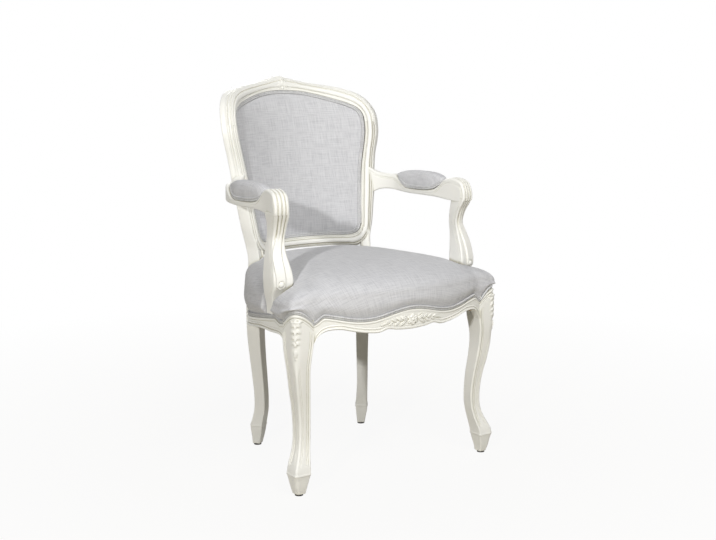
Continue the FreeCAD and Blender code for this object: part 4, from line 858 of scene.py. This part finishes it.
def seat_pad():
    """Crowned pad: each column bulges over the rail from its welt to a brim, then runs to the crown.

    With s from 1 at the brim to 0 at the middle, the height over the brim is (1 - s cubed) to the
    power 0.48 of the crown's rise, which gives round shoulders and an almost level top. Inwards s
    goes over from the outline's own share to the level lines of a rounded square."""
    line, normal = seat_outline(560)
    welt = welt_level(line[:, 0], line[:, 1]) + 8.0
    facing = (np.clip(-normal[:, 1], 0, 1) ** 2, normal[:, 0] ** 2, np.clip(normal[:, 1], 0, 1) ** 2)
    brim = sum(height * share for height, share in zip(BRIM, facing))
    window = np.hanning(51) / np.hanning(51).sum()
    brim = np.convolve(np.concatenate([brim[-25:], brim, brim[:25]]), window, "valid")
    swell = sum(reach * share for reach, share in zip(SWELL, facing))[:, None]
    rings = []
    for q in np.linspace(0, 1, 30):
        bulge = -5.0 + swell * math.sin(math.pi / 2 * min(1.0, q * 1.5)) - 4.5 * q ** 2.5
        rings.append(np.column_stack([line + normal * bulge, welt + (brim - welt) * q]))
    edge = rings[-1]
    for q in np.linspace(0, 1, 90)[1:]:
        s = 1 - q ** 1.5
        plan = CROWN_MIDDLE + (edge[:, :2] - CROWN_MIDDLE) * s
        x, y = np.abs(plan[:, 0]), plan[:, 1] - CROWN_MIDDLE[1]
        deep = np.where(y < 0, -y, y * REAR_STRETCH) / FRONT_REACH
        wide = x / (SIDE_REACH - SIDE_TAPER * (plan[:, 1] + 208.0))
        inside = smooth((1 - s) / 0.6)
        rounded = (wide ** SQUARENESS + deep ** SQUARENESS) ** (1 / SQUARENESS)
        rise = np.clip(1 - (s * (1 - inside) + rounded * inside) ** 3, 0, 1) ** 0.48
        z = edge[:, 2] + (CROWN - edge[:, 2]) * rise
        dip = 8.0 * bump((plan[:, 1] + 205) / 80) * smooth((x - 190) / 50)
        rings.append(np.column_stack([plan, z - dip * smooth((z - 446) / 36)]))
    points = beside_posts(np.array(rings))
    step = np.linalg.norm(np.diff(points, axis=0), axis=2)
    reach = np.vstack([np.cumsum(step[::-1], axis=0)[::-1], np.zeros_like(step[:1])])
    uv = CROWN_MIDDLE + unit(edge[:, :2] - CROWN_MIDDLE) * reach[..., None]
    obj = dress(grid_object("seat_pad", points, uv), LINEN, ["seat_cover", "seat_foam"])


def double_welt(name, path, side, top, node, width=9.0, height=5.6):
    """Two cords side by side: a section of two touching rounds carried along a closed path."""
    rounds = []
    for sign, start in ((1, 0), (-1, math.pi)):
        angle = start - math.pi * 0.88 + np.linspace(0, 1, 13) * math.pi * 1.76
        rounds.append(np.column_stack([sign * width / 4 + width / 4 * 1.05 * np.cos(angle),
                                       height / 2 * np.sin(angle)]))
    section = np.vstack(rounds)
    points = path[:, None] + side[:, None] * section[None, :, :1] + top[:, None] * section[None, :, 1:]
    length = np.concatenate([[0], np.cumsum(np.linalg.norm(np.diff(path, axis=0), axis=1))])
    uv = np.stack(np.broadcast_arrays(length[:, None], np.arange(len(section)) * 1.1), -1)
    dress(grid_object(name, points, uv, ends="joined"), WELT, [node])


def seat_welt():
    """Double welt in the shelf round the seat, its face turned a little upwards."""
    line, normal = seat_outline(900)
    path = np.column_stack([line + normal * -3.0, welt_level(line[:, 0], line[:, 1]) + 4.6])
    level = np.zeros(len(line))
    side = unit(np.column_stack([normal * 0.35, level + 0.94]))
    top = unit(np.column_stack([normal * 0.94, level - 0.35]))
    double_welt("seat_double_welt", path, side, top, "seat_piping")


def dust_sheet():
    """Black cloth tacked under the rails: rings of the frame's inside drawn to a sagging middle."""
    line, normal = seat_outline(240)
    plan = line - normal * (RAIL_THICK + 1.0)
    plan[:, 1] = np.minimum(plan[:, 1], REAR_Y - 14.0)
    middle = np.array([0.0, -70.0])
    rings = []
    for q in np.linspace(0, 1, 24):
        place = middle + (plan - middle) * (1 - q)
        sag = DUST_SAG * math.sin(q * math.pi / 2)
        rings.append(np.column_stack([place, deck(place[:, 1]) - DUST_DOWN - sag]))
    points = np.array(rings)
    obj = grid_object("tacked_dust_sheet", points, points[..., :2], ends="last", facing=(0, 0, -1))
    dress(obj, DUST, ["dust_cover"])


seat_pad()
seat_welt()
dust_sheet()


# Back upholstery
def back_cloth(name, count, depth, facing, nodes):
    """Cloth of the back: rings of the opening's outline drawn to its middle. Depth gives how far
    behind the front face a ring lies, for s from 1 at the outline to 0 in the middle."""
    outline = opening_line(420)[0][:, :2]
    rings = []
    for s in 1 - np.linspace(0, 1, count):
        x, z = (BACK_MIDDLE + (outline - BACK_MIDDLE) * (s * 0.985)).T
        rings.append(on_back(x, z, depth(s)))
    points = np.array(rings)
    obj = grid_object(name, points, points[..., [0, 2]], ends="last", facing=(0, facing, 0))
    return dress(obj, LINEN, nodes)


def back_panel():
    """Crowned panel that swells forwards: steeply beside the welt, then slowly to the middle."""
    obj = back_cloth("back_panel", 70, lambda s: 7.0 - 13.0 * (1 - s ** 7) - 4.0 * (1 - s * s), -1,
                     ["back_cover", "back_foam"])


def outside_back():
    """Linen stretched over the rear of the back."""
    obj = back_cloth("outside_back", 60, lambda s: 29.5, 1, ["outside_back_cover"])


def back_welt(name, depth, node):
    """Double welt along the back opening, at a depth behind the front face."""
    xz = opening_line(700)[0][:, :2]
    inward = -line_normals(xz, BACK_MIDDLE)
    moved = xz + inward * 4.5
    path = on_back(*moved.T, depth)
    side = unit(on_back(*(moved + inward).T, depth) - path)
    angle = np.arcsin(moved[:, 0] / BACK_RADIUS)
    double_welt(name, path, side, np.stack([np.sin(angle), np.cos(angle), 0 * angle], 1), node)


back_panel()
outside_back()
back_welt("back_front_double_welt", 3.5, "back_piping_front")
back_welt("back_rear_double_welt", 32.0, "back_piping_rear")


# Arm pads
def arm_top(y):
    """Height of the arm's top at y."""
    rows = sorted((row[1], row[3]) for row in ARM)
    return curve(*zip(*rows), y)


def pad_centre(y):
    """Middle line of the pad, which follows the arm inwards behind."""
    k = (y - PAD_Y) / (PAD_LENGTH / 2)
    return ARM_X - 0.5 - 6.5 * smooth(k) ** 2 + smooth(-k)


def pad_outline(turn, inset=0.0, spread=1.0):
    """Places (x, y) of a long rounded plan with half round ends, shrunk to spread of the half width."""
    c = np.sign(np.cos(turn)) * np.abs(np.cos(turn)) ** 0.7
    s = np.sign(np.sin(turn)) * np.abs(np.sin(turn)) ** 0.8
    y = PAD_Y + c * (PAD_LENGTH / 2 - PAD_HALF + (PAD_HALF - inset) * spread)
    return pad_centre(y) + s * (PAD_HALF - inset) * spread, y


def arm_pad(side):
    """Long oval pad: rings from the welt up its full side and over a rounded top."""
    turn = np.linspace(0, 2 * math.pi, 180, endpoint=False)
    base = arm_top(pad_outline(turn)[1]) + 6.0
    rings = []
    for q in np.linspace(0, 1, 48):
        a = q * math.pi / 2
        spread = math.cos(a) ** 0.62 * (0.95 + 0.05 * math.sin(min(1.0, q * 5) * math.pi / 2))
        x, y = pad_outline(turn, 0.0, spread)
        top = PAD_TOP - 11.0 * np.abs((y - PAD_Y) / (PAD_LENGTH / 2)) ** 3
        rings.append(np.column_stack([x, y, base + np.maximum(top - base, 7.0) * math.sin(a) ** 0.85]))
    points = np.array(rings)
    name = side_name(side)
    obj = grid_object("arm_pad" + name, mirrored(points, side), points[..., :2])
    dress(obj, LINEN, ["arm_pad_cover" + name, "arm_pad_foam" + name])
    x, y = pad_outline(turn, 0.5)
    path = np.column_stack([x, y, arm_top(y) + 4.4])
    up = np.broadcast_to([0.0, 0.0, 1.0], path.shape)
    across = unit(np.cross(tangents(path), up))
    double_welt("arm_pad_welt" + name, mirrored(path, side), up, mirrored(across, side),
                "arm_pad_piping" + name, width=9.4, height=5.4)


for side in (LEFT, RIGHT):
    arm_pad(side)

# Nodes that stay as the frame has them, most of them hidden: sawn and fluted beech is dull with
# fine grain, zinc plate is bright grey, nylon nearly black, jute and hessian are coarse and brown
FINISHES = {
    "bare_wood": plain_finish("sawn_beech_block", ("#B48F63", "#8F6C46"), 0.75, (40.0, 40.0, 400.0)),
    "dowel_wood": plain_finish("fluted_beech_dowel", ("#C9A878", "#AD8858"), 0.7, (60.0, 60.0, 200.0)),
    "screw_steel": plain_finish("zinc_plated_screw", ("#A9ABAE", "#8E9094"), 0.35, (60.0, 60.0, 60.0), 1.0),
    "glide_plastic": plain_finish("dark_nylon_glide", ("#37322D", "#25211D"), 0.5, (60.0, 60.0, 60.0)),
    "webbing": plain_finish("jute_webbing", ("#B59C74", "#8C7550"), 0.95, (700.0, 700.0, 700.0)),
    "lining_cloth": plain_finish("hessian_lining", ("#BCA27A", "#94794F"), 0.95, (500.0, 500.0, 500.0)),
    "painted_wood": PAINT,
}
for entry in frame["record"]["subparts"]:
    node = frame["nodes"].get(entry["node"])
    finish = FINISHES.get(entry["material_slot"])
    if node is not None and finish is not None:
        node.data.materials.clear()
        node.data.materials.append(finish)

# Studio: lengths in metres, directions as azimuth and elevation in degrees
TARGET = Vector((0.0, -0.085, 0.4853))
LENS, SENSOR, FAR_CLIP = 57.77, 36.0, 50.0
CAMERA_AZIMUTH, CAMERA_ELEVATION, CAMERA_DISTANCE = 34.84, 9.48, 2.8982
# Lamps: (name, azimuth, elevation, distance, watts, size)
LAMPS = [("key", 55.3, 17.3, 6.0, 160.0, 0.22), ("front", 12.0, 44.0, 2.8, 55.0, 1.6),
         ("rear", 205.0, 28.0, 3.2, 26.0, 1.4)]
AMBIENT = 0.08
WHITE = (1.0, 1.0, 1.0, 1.0)
# Half the floor's side; how far out it starts to go over into the background and has gone over, and
# the background's share of it beside the chair
FLOOR_HALF, FADE_START, FADE_END, FADE_SHARE = 6.0, 0.5, 2.0, 0.93


def stand(name, data, azimuth, elevation, distance):
    """Places a camera or lamp round the target and turns it there."""
    obj = bpy.data.objects.new(name, data)
    bpy.context.collection.objects.link(obj)
    a, e = math.radians(azimuth), math.radians(elevation)
    away = Vector((-math.sin(a) * math.cos(e), -math.cos(a) * math.cos(e), math.sin(e)))
    obj.location = TARGET + away * distance
    obj.rotation_euler = (-away).to_track_quat("-Z", "Y").to_euler()
    return obj


def background_rays(f):
    """1 for rays of the camera, of gloss and through glass, 0 for those that light the chair."""
    path = f.node("ShaderNodeLightPath").outputs
    rays = path["Is Camera Ray"]
    for kind in ("Is Glossy Ray", "Is Transmission Ray"):
        rays = f.node("ShaderNodeMath", {0: rays, 1: path[kind]}, operation="MAXIMUM").outputs[0]
    return rays


def pale_floor():
    """Pale matt floor that goes over into the white background away from the chair."""
    mesh = bpy.data.meshes.new("floor")
    corners = [(i * FLOOR_HALF, j * FLOOR_HALF, 0) for i, j in ((-1, -1), (1, -1), (1, 1), (-1, 1))]
    mesh.from_pydata(corners, [], [(0, 1, 2, 3)])
    floor = bpy.data.objects.new("floor", mesh)
    bpy.context.collection.objects.link(floor)
    material = bpy.data.materials.new("pale_floor")
    f = Shading(material)
    place = f.node("ShaderNodeTexCoord").outputs["Object"]
    far = f.node("ShaderNodeVectorMath", {0: place}, operation="LENGTH")
    fade = f.node("ShaderNodeMapRange", {"Value": far.outputs["Value"], "From Min": FADE_START,
                                         "From Max": FADE_END, "To Min": FADE_SHARE, "To Max": 1.0})
    share = f.node("ShaderNodeMath", {0: background_rays(f), 1: fade.outputs["Result"]},
                   operation="MULTIPLY")
    matt = f.node("ShaderNodeBsdfDiffuse", {"Color": linear("#BDB6A4")})
    glow = f.node("ShaderNodeEmission", {"Color": WHITE, "Strength": 1.0})
    mix = f.node("ShaderNodeMixShader", {"Fac": share.outputs[0], 1: matt.outputs[0], 2: glow.outputs[0]})
    f.node("ShaderNodeOutputMaterial", {"Surface": mix.outputs[0]})
    mesh.materials.append(material)


def room():
    """World: dim even light on the chair, white to the camera, in gloss and through glass."""
    world = bpy.data.worlds.new("studio")
    bpy.context.scene.world = world
    f = Shading(world)
    dim = f.node("ShaderNodeBackground", {"Color": linear("#FCFAF6"), "Strength": AMBIENT})
    white = f.node("ShaderNodeBackground", {"Color": WHITE, "Strength": 1.0})
    mix = f.node("ShaderNodeMixShader", {"Fac": background_rays(f), 1: dim.outputs[0], 2: white.outputs[0]})
    f.node("ShaderNodeOutputWorld", {"Surface": mix.outputs[0]})


def studio():
    """Camera where the photograph was taken, a low hard key lamp, and large soft ones high in front
    and behind."""
    data = bpy.data.cameras.new("camera")
    data.lens, data.sensor_width, data.clip_end = LENS, SENSOR, FAR_CLIP
    camera = stand("camera", data, CAMERA_AZIMUTH, CAMERA_ELEVATION, CAMERA_DISTANCE)
    bpy.context.scene.camera = camera
    for name, azimuth, elevation, distance, watts, size in LAMPS:
        lamp = bpy.data.lights.new(name, "AREA")
        lamp.energy, lamp.size = watts, size
        stand(name, lamp, azimuth, elevation, distance)
    pale_floor()
    room()
    bpy.context.scene.view_settings.view_transform = "Standard"


studio()
